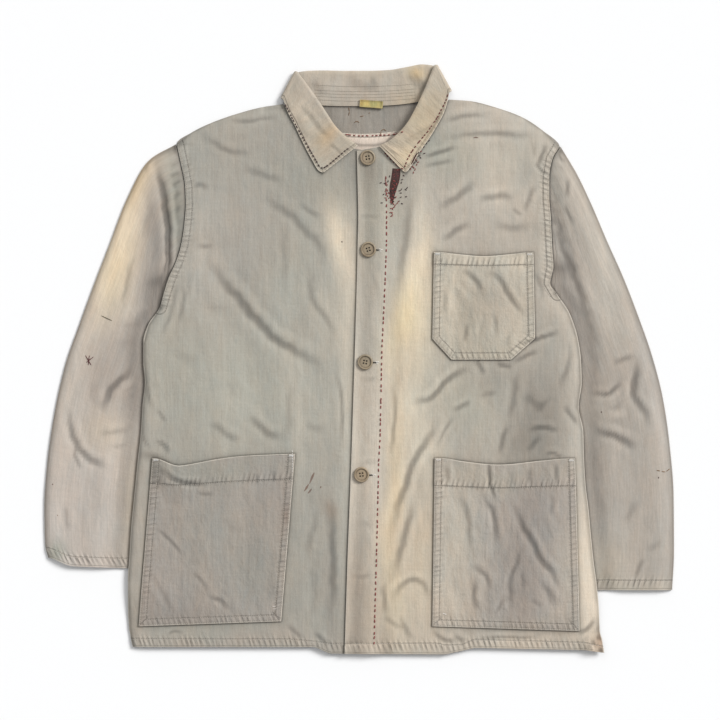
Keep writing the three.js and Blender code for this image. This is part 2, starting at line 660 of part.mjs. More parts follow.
// The light patch inside the back, which shows through the neck opening
function neckPatch() {
  const CELLS = 5;
  const grid = (lift) => PATCH.map((row) =>
    [...spread(0, 1, CELLS), 1].map((share) => {
      const x = mix(row.leftX, row.rightX, share);
      const dip = row === PATCH[0] ? 3.5 * Math.sin(Math.PI * share) : 0;
      return point(x, mix(row.leftY, row.rightY, share) - dip, CLOTH + SEAM + lift);
    }));
  return wall(grid(0), grid(CLOTH));
}

// The small folded label at the back of the neck, with no lettering
function neckLabel() {
  const LAYER = 1;
  const profile = new THREE.Shape([
    [0, 0], [LABEL.depth, 0], [LABEL.depth, LAYER], [LAYER, LAYER], [LAYER, LAYER + SEAM],
    [LABEL.depth, LAYER + SEAM], [LABEL.depth, 2 * LAYER + SEAM], [0, 2 * LAYER + SEAM],
  ].map(([y, z]) => new THREE.Vector2(y, z)));
  const geometry = new THREE.ExtrudeGeometry(profile, { depth: LABEL.width, bevelEnabled: false });
  geometry.rotateX(Math.PI / 2).rotateZ(Math.PI / 2);
  geometry.center().rotateZ(LABEL.turn);
  return geometry.translate(LABEL.x, LABEL.y, 2 * (CLOTH + SEAM) + LAYER + SEAM);
}

// A four-hole button with a raised rim
function button() {
  const rim = [
    [0, 0], [0.78, 0], [0.97, 0.25], [1, 0.6], [0.93, 1], [0.78, 1], [0.62, 0.66], [0, 0.62],
  ].map(([r, z]) => new THREE.Vector2(r * BUTTON_RADIUS, z * BUTTON_THICKNESS));
  const disc = solidOf(new THREE.LatheGeometry(rim, STEP.round).rotateX(Math.PI / 2));
  const drilled = [[-1, -1], [-1, 1], [1, -1], [1, 1]].reduce((solid, [sx, sy]) => {
    const hole = new THREE.CylinderGeometry(THREAD_HOLE_RADIUS, THREAD_HOLE_RADIUS, 3 * BUTTON_THICKNESS, 8)
      .rotateX(Math.PI / 2)
      .translate((sx * THREAD_HOLE_SPACING) / 2, (sy * THREAD_HOLE_SPACING) / 2, 0);
    return solid.subtract(solidOf(hole));
  }, disc);
  return geometryOf(drilled);
}

// three.js geometry to a solid, with shared vertices merged, and back
function solidOf(geometry) {
  const source = geometry.index ? geometry.toNonIndexed() : geometry;
  const seen = new Map();
  const positions = [];
  const triangles = [];
  const p = source.getAttribute("position");
  for (let i = 0; i < p.count; i++) {
    const vertex = [p.getX(i), p.getY(i), p.getZ(i)];
    const key = vertex.map((v) => Math.round(v * 1e4)).join();
    if (!seen.has(key)) seen.set(key, positions.push(...vertex) / 3 - 1);
    triangles.push(seen.get(key));
  }
  const kept = [];
  for (let i = 0; i < triangles.length; i += 3) {
    const [a, b, c] = triangles.slice(i, i + 3);
    if (a !== b && b !== c && c !== a) kept.push(a, b, c);
  }
  return new wasm.Manifold(new wasm.Mesh({
    numProp: 3,
    vertProperties: new Float32Array(positions),
    triVerts: new Uint32Array(kept),
  }));
}

function geometryOf(solid) {
  const mesh = solid.getMesh();
  return new THREE.BufferGeometry()
    .setAttribute("position", new THREE.BufferAttribute(mesh.vertProperties, 3))
    .setIndex(new THREE.BufferAttribute(mesh.triVerts, 1));
}

const finish = (color, roughness) => new THREE.MeshStandardMaterial({ color, roughness, metalness: 0 });
const FINISHES = {
  twill: finish("#a8a293", 0.9),
  collarTwill: finish("#bfae93", 0.9),
  cream: finish("#e2d3c3", 0.9),
  label: finish("#b7a65a", 0.8),
  button: finish("#94866f", 0.5),
};

const jacket = new THREE.Group();
function add(name, geometry, material, place = [0, 0, 0]) {
  const mesh = new THREE.Mesh(geometry, material);
  mesh.name = name;
  mesh.position.set(...place);
  jacket.add(mesh);
}

add("back", back(), FINISHES.twill);
add("front_right", front("right"), FINISHES.twill);
add("front_left", front("left"), FINISHES.twill);
add("sleeve_right", sleeve("right"), FINISHES.twill);
add("sleeve_left", sleeve("left"), FINISHES.twill);
add("collar", collar(), FINISHES.collarTwill);
for (const [name, geometry] of POCKETS.map(pocket)) add(name, geometry, FINISHES.twill);
add("neck_patch", neckPatch(), FINISHES.cream);
add("neck_label", neckLabel(), FINISHES.label);

BUTTON_YS.forEach((y, i) => {
  const x = lineAt(PLACKET, y, "y", "x") + BUTTON_INSET;
  const around = spread(0, 2 * Math.PI, 12).map((a) => [x + BUTTON_RADIUS * Math.cos(a), y + BUTTON_RADIUS * Math.sin(a)]);
  const seat = Math.max(frontTop("left", x, y), ...around.map(([u, v]) => frontTop("left", u, v)));
  add(`button_${i + 1}`, button(), FINISHES.button, [x, y, seat + 2 * SEAM]);
});

// The origin is at the middle of the overall box, on the surface that the jacket lies on
const overall = new THREE.Box3().setFromObject(jacket);
const middle = overall.getCenter(new THREE.Vector3());
jacket.position.set(-middle.x, -middle.y, -overall.min.z);

export default jacket;
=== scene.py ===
"""A washed cotton chore jacket, laid flat on its back and buttoned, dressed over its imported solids.

Tables and sizes are in millimetres on the cutting plan, as in the part's source. Meshes are in metres.
Colours in tables are as they show, from 0 to 255.
"""

import logging
import math
from collections.abc import Callable, Sequence
from dataclasses import dataclass, field
from enum import Enum
from typing import NamedTuple

import bpy
import numpy as np
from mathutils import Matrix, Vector
from mathutils.bvhtree import BVHTree

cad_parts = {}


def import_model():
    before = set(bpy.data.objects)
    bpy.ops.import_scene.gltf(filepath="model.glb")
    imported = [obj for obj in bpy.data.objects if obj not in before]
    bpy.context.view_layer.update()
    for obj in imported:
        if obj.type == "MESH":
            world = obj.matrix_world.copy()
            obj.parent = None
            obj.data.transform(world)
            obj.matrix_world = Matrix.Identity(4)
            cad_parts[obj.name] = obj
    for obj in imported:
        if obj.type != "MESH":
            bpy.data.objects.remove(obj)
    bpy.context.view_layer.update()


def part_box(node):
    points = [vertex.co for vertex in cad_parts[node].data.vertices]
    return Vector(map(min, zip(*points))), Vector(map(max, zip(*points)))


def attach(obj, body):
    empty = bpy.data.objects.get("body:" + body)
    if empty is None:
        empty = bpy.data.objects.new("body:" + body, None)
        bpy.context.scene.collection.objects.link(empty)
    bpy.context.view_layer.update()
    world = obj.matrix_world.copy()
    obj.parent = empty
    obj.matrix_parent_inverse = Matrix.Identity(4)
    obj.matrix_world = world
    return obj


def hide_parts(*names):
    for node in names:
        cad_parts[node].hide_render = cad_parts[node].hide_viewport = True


log = logging.getLogger("jacket")

Array = np.ndarray
Line = Sequence[tuple[float, float]]
Colour = tuple[float, float, float]
Triples = tuple[tuple[float, float, float], ...]

# Cloth and layers, as in the part's source
CLOTH = 1.2
SEAM = 0.3
LAYER = CLOTH + SEAM
HEM_EXTRA = 0.8
HEM_DEPTH = 14.0
FRONT_HOLLOW = 2.2
SLEEVE_HOLLOW = 2.4
PRESSED_HOLLOW = 0.4
EDGE_ROLL = 26.0
SLEEVE_RISE = 35.0
BACK_LIFT = 2 * CLOTH + PRESSED_HOLLOW + 2 * SEAM
LIFT_PLATEAU = 42.0
LIFT_RAMP = 70.0
OVERLAP = 30.0
OVERLAP_RAMP = 30.0
FACING_WIDTH = 37.0
BUTTON_RADIUS = 10.0
BUTTON_THICKNESS = 3.4
BUTTON_INSET = 14.0
BUTTON_YS = (263.0, 144.0, -2.0, -148.0)

# The finished cloth stands a little fuller than its solids
FULLNESS = 1.0
FOLD_GAIN = 0.8
FAR = 1000.0

# How bright a white surface that lies flat comes out, which the finishes are balanced against
LIGHT_LEVEL = 1.175


class Side(Enum):
    """The wearer's side, with the way that it lies along X."""

    RIGHT = -1
    LEFT = 1


class HalfRow(NamedTuple):
    """A row across a front: its outer edge and its centre edge, with neck_x where that is the neckline."""

    side_x: float
    side_y: float
    centre_y: float
    neck_x: float | None = None


class SleeveRow(NamedTuple):
    """A sleeve section: outer fold, hidden fold, share of the armhole's curve, and curve of the cuff's corner."""

    outer_x: float
    outer_y: float
    inner_x: float
    inner_y: float
    shape: float
    dip: float = 0.0


class CollarRow(NamedTuple):
    """A section of the collar: neck seam, roll line, outer edge, and how it lies."""

    neck_x: float
    neck_y: float
    fold_x: float
    fold_y: float
    edge_x: float
    edge_y: float
    side: float
    roll: float
    drop: float


class Fold(NamedTuple):
    """A trough along a line of points, with a crest on the line's left. A negative depth is a ridge."""

    line: Line
    width: float
    depth: float
    crest: float = 0.32


class FadeAndShade(NamedTuple):
    """A soft-edged place where a piece's colour differs: cloth that washing, sun and handling changed, and in some
    places painted shade along folds, in the curled corner's crease and inside a gaping pocket mouth.
    """

    x: float
    y: float
    long: float
    wide: float
    lean: float
    colour: Colour
    strength: float


PLACKET: Line = ((-3, 272), (-1, 190), (-3, 100), (-6, 0), (-10, -125), (-15, -254), (-19, -382))
HEM: Line = ((-294, -372), (-57, -372), (-38, -380.5), (112, -381.5), (150, -373), (294, -376), (318, -379))
HEM_BAND: Line = ((-294, 11), (-90, 10.5), (-57, 7.5), (-38, 13), (100, 14.5), (133, 8), (150, 11), (290, 10), (318, 8))
BACK_NECK: Line = ((-97, 331), (-51, 330.5), (0, 329.5), (32, 330), (79, 334), (113, 337))

RIGHT_HALF = tuple(
    HalfRow(*row)
    for row in (
        (-99, 333, 327, -89), (-126, 329, 320, -79), (-160, 320, 309, -69), (-191, 309, 297, -56),
        (-216, 297, 279, -26), (-237, 281, 270, 26), (-231, 254, 250), (-226, 228, 228), (-225, 202, 205),
        (-227, 176, 181), (-231, 150, 158), (-238, 127, 137), (-247, 107, 118), (-253, 88, 100), (-259, 68, 80),
        (-274, 46, 58), (-280, 23, 34), (-280, -2, 8), (-278, -28, -18), (-281, -58, -49), (-283, -92, -83),
        (-287, -127, -118), (-290, -158, -149), (-293, -188, -179), (-296, -220, -211), (-298, -253, -244),
        (-300, -285, -276), (-300, -317, -308), (-299, -345, -335.5), (-297, -358, -366), (-294, -372, -380),
    )
)
LEFT_HALF = tuple(
    HalfRow(*row)
    for row in (
        (117, 339, 331, 108), (144, 337, 322, 99), (183, 327, 310, 87), (212, 316, 297, 74), (237, 300, 283, 53),
        (261, 278, 272, -3), (251, 261, 252), (247, 237, 230), (247, 211, 207), (249, 185, 184), (250, 162, 162),
        (251, 140, 140.5), (252, 123, 124), (248, 101, 100), (257, 86, 84), (273, 62, 58), (284, 29, 28.5),
        (288, 1, 1), (289, -29, -29), (285, -60, -60), (291, -92, -91), (292, -127, -126), (294, -161, -160),
        (298, -194, -190), (301, -227, -222), (304, -257, -252), (308, -287, -282), (311, -317, -313),
        (313, -352, -341), (316, -365, -367), (318, -379, -380.5),
    )
)
TIP_ROW = 5
UNDERARM_ROW = 14

RIGHT_SLEEVE = tuple(
    SleeveRow(*row)
    for row in (
        (-237, 281, -259, 68, 1), (-272, 260, -252, 52, 0.75), (-300, 211, -243, 29, 0.5), (-324, 149, -234, 3, 0.28),
        (-344, 97, -227, -25, 0.12), (-363, 45, -223, -57, 0.04), (-381, -7, -221, -90, 0),
        (-395, -70, -223, -127, 0), (-404, -132, -228, -166, 0), (-408, -190, -234, -207, 0),
        (-407, -238, -242, -249, 0, 4), (-403, -256, -246, -272, 0, 9),
    )
)
LEFT_SLEEVE = tuple(
    SleeveRow(*row)
    for row in (
        (261, 278, 257, 86, 1), (283, 241, 246, 66, 0.75), (302, 201, 241, 43, 0.5), (322, 154, 237, 14, 0.28),
        (343, 107, 234, -20, 0.12), (363, 55, 232, -57, 0.04), (380, 6, 232, -96, 0), (394, -49, 235, -137, 0),
        (403, -111, 239, -179, 0), (408, -176, 244, -220, 0), (408.5, -246, 249, -262, 0), (406, -298, 253, -298, 0),
    )
)

COLLAR = tuple(
    CollarRow(*row)
    for row in (
        (-12, 280, -2, 278, -48, 242, 1, 1, 1), (-23, 282.5, -10, 284, -54, 248, 1, 3.5, 1),
        (-35, 287, -20, 292, -61, 260, 1, 5, 1), (-47, 294.5, -31, 303, -69, 275, 1, 5.5, 1),
        (-58, 303, -41, 318, -77, 291, 1, 5, 1), (-68, 313.5, -52, 335, -85, 308, 1, 3.5, 1),
        (-79, 326, -66, 355, -93, 323, 1, 1.5, 0.6), (-87, 337, -80, 374, -98.5, 339, 1, 0, 0),
        (-87, 337, -80, 374, -98.5, 339, 0.5, 0, 0), (-87, 337, -80, 374, -98.5, 339, 0, 0, 0),
        (-87, 337, -80, 374, -98.5, 339, -0.5, 0, 0), (-87, 337, -80, 374, -98.5, 339, -1, 0, 0),
        (-72, 334, -66, 376, -80, 337.5, -1, 0, 0), (-50, 331.5, -45, 376.5, -54, 335.5, -1, 0, 0),
        (-20, 330.5, -18, 376, -22, 334.5, -1, 0, 0), (10, 330.5, 12, 376, 9, 334.5, -1, 0, 0),
        (40, 331.5, 38, 377, 41, 335.5, -1, 0, 0), (65, 334, 62, 381, 67, 338, -1, 0, 0),
        (87, 338, 82, 384.5, 92, 342, -1, 0, 0), (105, 343.5, 98, 382.5, 117, 348, -1, 0, 0),
        (105, 343.5, 98, 382.5, 117, 348, -0.5, 0, 0), (105, 343.5, 98, 382.5, 117, 348, 0, 0, 0),
        (105, 343.5, 98, 382.5, 117, 348, 0.5, 0, 0), (105, 343.5, 98, 382.5, 117, 348, 1, 0, 0),
        (99, 332, 91, 364, 115, 337, 1, 1.5, 0.6), (90, 320, 83, 345, 110, 321, 1, 3.5, 1),
        (80, 309, 74, 326, 102, 306, 1, 5, 1), (68, 298, 64, 308, 93, 291, 1, 5.5, 1),
        (55, 289.5, 53, 295, 84, 278, 1, 5, 1), (45, 286, 43, 286, 76, 266, 1, 4, 1),
        (38, 284, 34, 280.5, 69, 254, 1, 2.5, 1), (35, 282.5, 26, 278, 60.5, 242, 1, 1, 1),
    )
)

# Traced from the photo's own folds, each drawn so that its crest is on the left of the way it runs
BODY_FOLDS = tuple(
    Fold(*row)
    for row in (
        (((-214, 142), (-200, 130), (-188, 117), (-168, 92), (-152, 76), (-136, 55), (-118, 36), (-100, 21),
        (-79, 10), (-61, 0), (-50, -12), (-44, -34)), 8, 1.9),
        (((-172, 317), (-156, 309), (-137, 311), (-116, 316), (-95, 312)), 5, 0.9),
        (((-214, 302), (-202, 292), (-188, 282), (-175, 273), (-152, 269), (-130, 268)), 6, 0.6),
        (((-160, 245), (-137, 247), (-116, 237), (-90, 229)), 7, 0.6),
        (((-142, 216), (-116, 208), (-98, 195), (-82, 182), (-66, 164), (-52, 150), (-42, 130), (-40, 110)), 8, 0.9),
        (((-82, 207), (-64, 193), (-46, 183)), 5, 0.5), (((-98, 190), (-97, 140), (-96, 76)), 7, 0.35),
        (((-60, 130), (-63, 95), (-60, 74), (-46, 60), (-36, 44), (-30, 14)), 6, 0.6),
        (((-218, 226), (-206, 229), (-194, 220)), 5, 0.6), (((-213, 151), (-199, 147), (-188, 150)), 4, 0.4),
        (((-236, 112), (-238, 82), (-247, 52), (-264, 22)), 5, 0.7),
        (((-228, 114), (-226, 88), (-231, 62), (-240, 38)), 5, 0.5),
        (((-221, 120), (-219, 98), (-223, 76)), 3.5, 0.35),
        (((-282, 12), (-278, -16), (-275, -36), (-272, -54), (-264, -74)), 4, 1.1),
        (((-265, -61), (-257, -70), (-249, -82)), 4, 0.6), (((-283, -86), (-277, -106), (-270, -120)), 3, 0.7),
        (((-148, -68), (-129, -85), (-116, -96), (-96, -104)), 6, 0.9),
        (((-198, -77), (-178, -90), (-165, -101), (-148, -104)), 6, 0.7),
        (((-268, -102), (-253, -108), (-244, -124)), 4, 0.7), (((-74, -79), (-58, -88), (-42, -94)), 7, 0.3),
        (((-92, -16), (-90, -60), (-94, -114)), 8, 0.35),
        (((-37, -6), (-31, -20), (-26, -28), (-22, -48), (-22, -84), (-23, -124)), 3, 0.7),
        (((-38, -178), (-35, -210), (-34, -240), (-33, -285), (-35, -350)), 7, 1.1),
        (((-50, -182), (-60, -220), (-71, -266)), 7, 0.4), (((-60, -246), (-56, -300), (-62, -348)), 7, 0.4),
        (((-96, -340), (-84, -352), (-68, -363)), 4, 0.6), (((-62, -350), (-48, -362), (-37, -374)), 4, 0.8),
        (((-252, -358), (-240, -350), (-226, -355)), 3, 0.5), (((-246, 20), (-226, 4), (-204, -8)), 10, 0.3),
        (((-180, -20), (-166, -36), (-158, -56)), 10, 0.3),
        (((100, 288), (130, 291), (156, 295), (187, 294), (218, 292), (244, 285)), 5, 0.7),
        (((100, 308), (125, 315), (151, 319), (176, 316)), 5, 0.8),
        (((78, 261), (99, 268), (112, 273), (132, 279)), 4, 1.1), (((78, 250), (104, 256), (128, 262)), 4, 0.6),
        (((244, 284), (237, 264), (230, 248)), 4, 1.3), (((228, 259), (235, 248), (243, 239)), 2.5, 0.9),
        (((221, 294), (227, 274), (229, 254)), 4, 0.4),
        (((96, 191), (112, 202), (125, 210), (140, 224), (160, 234)), 7, 1.0),
        (((148, 206), (171, 212), (187, 215), (205, 206)), 6, 0.8), (((198, 200), (205, 192), (213, 185)), 3, 0.5),
        (((231, 234), (223, 214), (211, 186)), 5, 0.6), (((102, 153), (118, 162), (130, 172), (148, 181)), 6, 0.9),
        (((168, 185), (188, 173), (206, 171), (228, 176)), 7, 0.5),
        (((200, 17), (214, 23), (229, 27), (244, 32), (264, 39)), 3.5, 1.3),
        (((196, -5), (216, 6), (236, 14)), 4, 0.8), (((174, -3), (188, -7), (202, -8)), 4, 1.0),
        (((149, 2), (157, -8), (165, -20)), 4, 0.9), (((227, 120), (235, 100), (240, 70)), 4, 0.6),
        (((270, 38), (274, 14), (272, -4), (266, -24), (255, -44)), 6, 1.0),
        (((68, 244), (65, 190), (60, 150), (52, 110), (48, 72)), 7, 0.7), (((9, 126), (22, 102), (27, 78)), 3, 0.3),
        (((-2, 185), (14, 188), (29, 185)), 3.5, 0.5), (((-2, -22), (12, -25), (26, -22)), 3, 0.6),
        (((62, -57), (80, -52), (94, -50), (104, -38), (112, -26), (130, -15), (150, -9)), 5, 1.3),
        (((120, -67), (134, -58), (148, -53)), 4, 0.6), (((154, -49), (168, -43), (184, -40)), 5, 0.4),
        (((125, -70), (110, -92), (97, -118)), 3, 0.5),
        (((96, -62), (98, -86), (88, -106), (75, -122), (68, -138), (62, -158), (53, -180), (48, -202),
        (45, -236)), 6, 1.5),
        (((71, -174), (65, -205), (57, -234), (51, -258), (45, -288)), 6, 1.1),
        (((44, -26), (48, -64), (44, -100), (40, -132)), 3, 0.7),
        (((42, -316), (52, -294), (62, -286), (74, -284), (86, -292), (94, -316)), 5, 0.8),
        (((30, -286), (33, -306), (34, -332)), 4, 0.7), (((51, -328), (60, -348), (69, -367)), 5, 0.6),
        (((93, -346), (106, -362), (134, -367)), 4, 1.0), (((120, -353), (130, -361), (139, -369)), 4, 0.9),
        (((32, -328), (44, -342), (60, -351)), 4, 0.5), (((195, -80), (186, -100), (181, -128)), 5, 0.9),
        (((238, -96), (226, -108), (217, -122)), 5, 0.6), (((216, -91), (238, -86), (262, -91)), 4, 1.1),
        (((206, -10), (201, -46), (195, -82)), 6, 0.8), (((210, -42), (226, -54), (242, -68)), 8, 0.7),
        (((254, -42), (240, -54), (225, -74)), 6, 0.4), (((262, -54), (274, -70), (288, -88)), 5, 1.3),
        (((240, -123), (250, -118), (264, -127)), 3, 0.9), (((281, -357), (296, -349), (309, -330)), 4, 1.4),
        (((142, -366), (154, -361), (176, -359), (210, -360), (246, -358)), 3, 0.8),
        (((-14, -278), (4, -281), (20, -276)), 4, 0.6), (((-8, -207), (10, -214), (20, -205)), 7, 0.4),
        (((-2, -137), (12, -130), (28, -133)), 3, 0.5),
    )
)
BACK_FOLDS = tuple(
    Fold(*row)
    for row in (
        (((-14, 334), (-12, 322), (-15, 304)), 2.2, 0.7), (((-19, 332), (-21, 316), (-25, 300)), 2.6, 0.6),
        (((5, 330), (12, 314), (22, 298)), 3.5, 0.5), (((29, 334), (32, 314), (29, 298)), 2.6, 0.5),
        (((43, 334), (48, 318), (53, 302)), 3.5, 0.4),
    )
)
COLLAR_FOLDS = tuple(
    Fold(*row)
    for row in (
        (((-80, 335), (-58, 310), (-48, 297), (-32, 283)), 4, 0.5), (((-40, 282), (-30, 275), (-21, 267)), 2.5, 0.4),
        (((-84, 320), (-74, 300), (-64, 282)), 6, 0.25), (((44, 272), (62, 284), (93, 300), (120, 330)), 6, 0.5),
        (((38, 276), (46, 268), (54, 262)), 3, 0.3), (((60, 376), (76, 362), (92, 350)), 7, 0.6),
        (((-20, 372), (0, 358), (28, 352)), 9, 0.4), (((-66, 366), (-52, 352), (-44, 340)), 7, 0.4),
        (((14, 376), (20, 360), (18, 344)), 5, 0.3),
    )
)
SLEEVE_FOLDS = tuple(
    Fold(*row)
    for row in (
        (((-268, 282), (-264, 262), (-258, 236), (-252, 205), (-248, 166), (-248, 137), (-251, 110), (-255, 85),
        (-263, 62), (-278, 40), (-296, 10)), 5.5, 5.0),
        (((-265, 271), (-274, 256), (-280, 242)), 2.5, 1.0), (((-246, 251), (-238, 257), (-231, 262)), 3, 0.5),
        (((-247, 237), (-238, 241), (-229, 245)), 3, 0.6), (((-245, 223), (-238, 230), (-230, 237)), 3.5, 0.7),
        (((-244, 203), (-238, 212), (-232, 224)), 4, 0.5), (((-242, 178), (-237, 192), (-233, 207)), 4, 0.4),
        (((-276, 226), (-284, 190), (-294, 150)), 8, -0.6),
        (((-290, 144), (-300, 110), (-303, 88), (-309, 58)), 5, 0.6),
        (((-278, 16), (-288, -4), (-300, -18), (-316, -30), (-327, -48), (-336, -74)), 7, 2.4),
        (((-274, -42), (-288, -45), (-302, -46)), 4, 1.0), (((-276, -29), (-292, -33), (-310, -43)), 2.5, 0.6),
        (((-342, -99), (-314, -91), (-286, -90)), 6, 0.7), (((-332, -110), (-308, -112), (-286, -107)), 4, 0.4),
        (((-382, -42), (-377, -74), (-371, -100), (-364, -116), (-350, -127), (-330, -139), (-314, -151)), 6, 1.5),
        (((-373, -110), (-367, -128), (-359, -144)), 3.5, 0.9), (((-382, -182), (-381, -205), (-377, -228)), 6, 0.5),
        (((-307, -142), (-303, -170), (-301, -208)), 8, 0.8), (((-326, -176), (-316, -206), (-318, -244)), 8, -0.5),
        (((-352, 90), (-346, 60), (-352, 26)), 9, 0.3), (((-340, -20), (-346, -44), (-340, -70)), 8, 0.35),
        (((262, 264), (256, 240), (254, 212), (257, 180), (262, 150), (271, 127), (281, 104), (289, 78), (294, 52),
        (300, 20), (302, -12), (308, -38)), 8, 2.2),
        (((268, 240), (271, 222), (270, 207)), 4, 1.2), (((265, 209), (271, 190), (280, 172)), 3.5, 0.9),
        (((269, 165), (276, 146), (282, 128)), 4, 0.9), (((257, 269), (262, 262), (269, 257)), 2.5, 0.8),
        (((262, 124), (268, 100), (279, 76)), 6, -0.6), (((322, -3), (342, 0), (364, 9)), 5, 0.6),
        (((365, 14), (360, -10), (357, -34), (358, -50), (366, -60), (375, -72), (379, -96)), 6, 1.7),
        (((342, -23), (331, -38), (320, -46), (304, -42), (284, -36)), 4, 1.7),
        (((345, -22), (349, -36), (344, -52)), 4, -0.9),
        (((288, -85), (310, -92), (330, -98), (346, -104), (364, -118)), 6, 2.2),
        (((310, -70), (330, -72), (350, -65)), 6, -0.8), (((300, -136), (305, -178), (305, -240)), 8, 0.7),
        (((295, -144), (308, -172), (323, -205)), 6, 0.6), (((364, -178), (352, -198), (339, -218)), 8, 0.4),
        (((369, -254), (364, -268), (357, -286)), 4, 0.6), (((398, -226), (386, -240), (370, -251)), 7, 0.4),
    )
)
POCKET_FOLDS = tuple(
    Fold(*row)
    for row in (
        (((128, 120), (140, 114), (149, 106), (157, 96), (163, 82)), 5, 1.0),
        (((158, 119), (172, 113), (182, 106), (190, 92), (198, 78), (208, 65), (223, 50)), 5, 1.3),
        (((119, 114), (128, 96), (140, 80), (154, 69)), 6, -0.5), (((141, 50), (138, 36), (136, 20)), 4, 0.7),
        (((176, 68), (178, 46), (178, 22)), 5, 0.6), (((158, 62), (152, 40), (150, 22)), 4, -0.4),
        (((110, 104), (112, 80), (111, 56)), 5, 0.5), (((195, 38), (192, 26), (194, 14)), 4, 0.4),
        (((-268, -213), (-256, -223), (-246, -232), (-235, -242), (-225, -260)), 3, 0.8),
        (((-220, -270), (-206, -282), (-198, -296), (-195, -309)), 4, 0.6),
        (((-202, -305), (-188, -308), (-180, -310), (-172, -320), (-162, -331)), 4, 0.9),
        (((-269, -276), (-258, -296), (-248, -312), (-242, -332)), 5, 0.5),
        (((-92, -186), (-94, -204), (-93, -222)), 4, 0.6), (((-109, -282), (-113, -305), (-116, -328)), 3.5, 0.6),
        (((-192, -203), (-170, -212), (-148, -228)), 9, 0.4), (((-216, -167), (-202, -174), (-184, -171)), 4, 0.5),
        (((-268, -134), (-252, -146), (-236, -156), (-216, -160), (-194, -161)), 4, 1.8),
        (((-134, -144), (-132, -152), (-133, -162)), 2.5, 0.4), (((-112, -140), (-110, -150), (-112, -160)), 3, 0.4),
        (((166, -124), (168, -142), (169, -156), (173, -170), (178, -188)), 3, 1.6),
        (((254, -130), (255, -146), (256, -163)), 3.5, 1.0), (((219, -136), (221, -150), (223, -164)), 5, 0.5),
        (((195, -138), (198, -152), (201, -166)), 4, 0.4), (((109, -132), (114, -146), (116, -162)), 5, 0.5),
        (((118, -164), (128, -175), (136, -184), (142, -206), (144, -234), (144, -266)), 6, 0.7),
        (((141, -263), (156, -272), (166, -280), (174, -302)), 5, 0.9),
        (((158, -168), (165, -181), (174, -197), (178, -216), (178, -246)), 5, 1.3),
        (((196, -176), (203, -193), (211, -213), (224, -234), (234, -257), (250, -273), (257, -290),
        (261, -312)), 5.5, 1.9),
        (((234, -280), (242, -294), (248, -307), (264, -328)), 6, 1.1),
        (((214, -232), (203, -265), (195, -286), (197, -312), (200, -340)), 5, 1.0),
        (((205, -266), (212, -282), (219, -300)), 6, 0.6),
        (((153, -278), (148, -298), (150, -314), (159, -332)), 5, 0.9),
        (((191, -304), (182, -318), (175, -334)), 4, 0.6), (((220, -306), (230, -314), (240, -323)), 4, 0.5),
        (((234, -198), (244, -216), (251, -240)), 8, 0.3), (((253, -170), (250, -190), (245, -206)), 5, 0.4),
    )
)

BUTTER: Colour = (232, 211, 172)
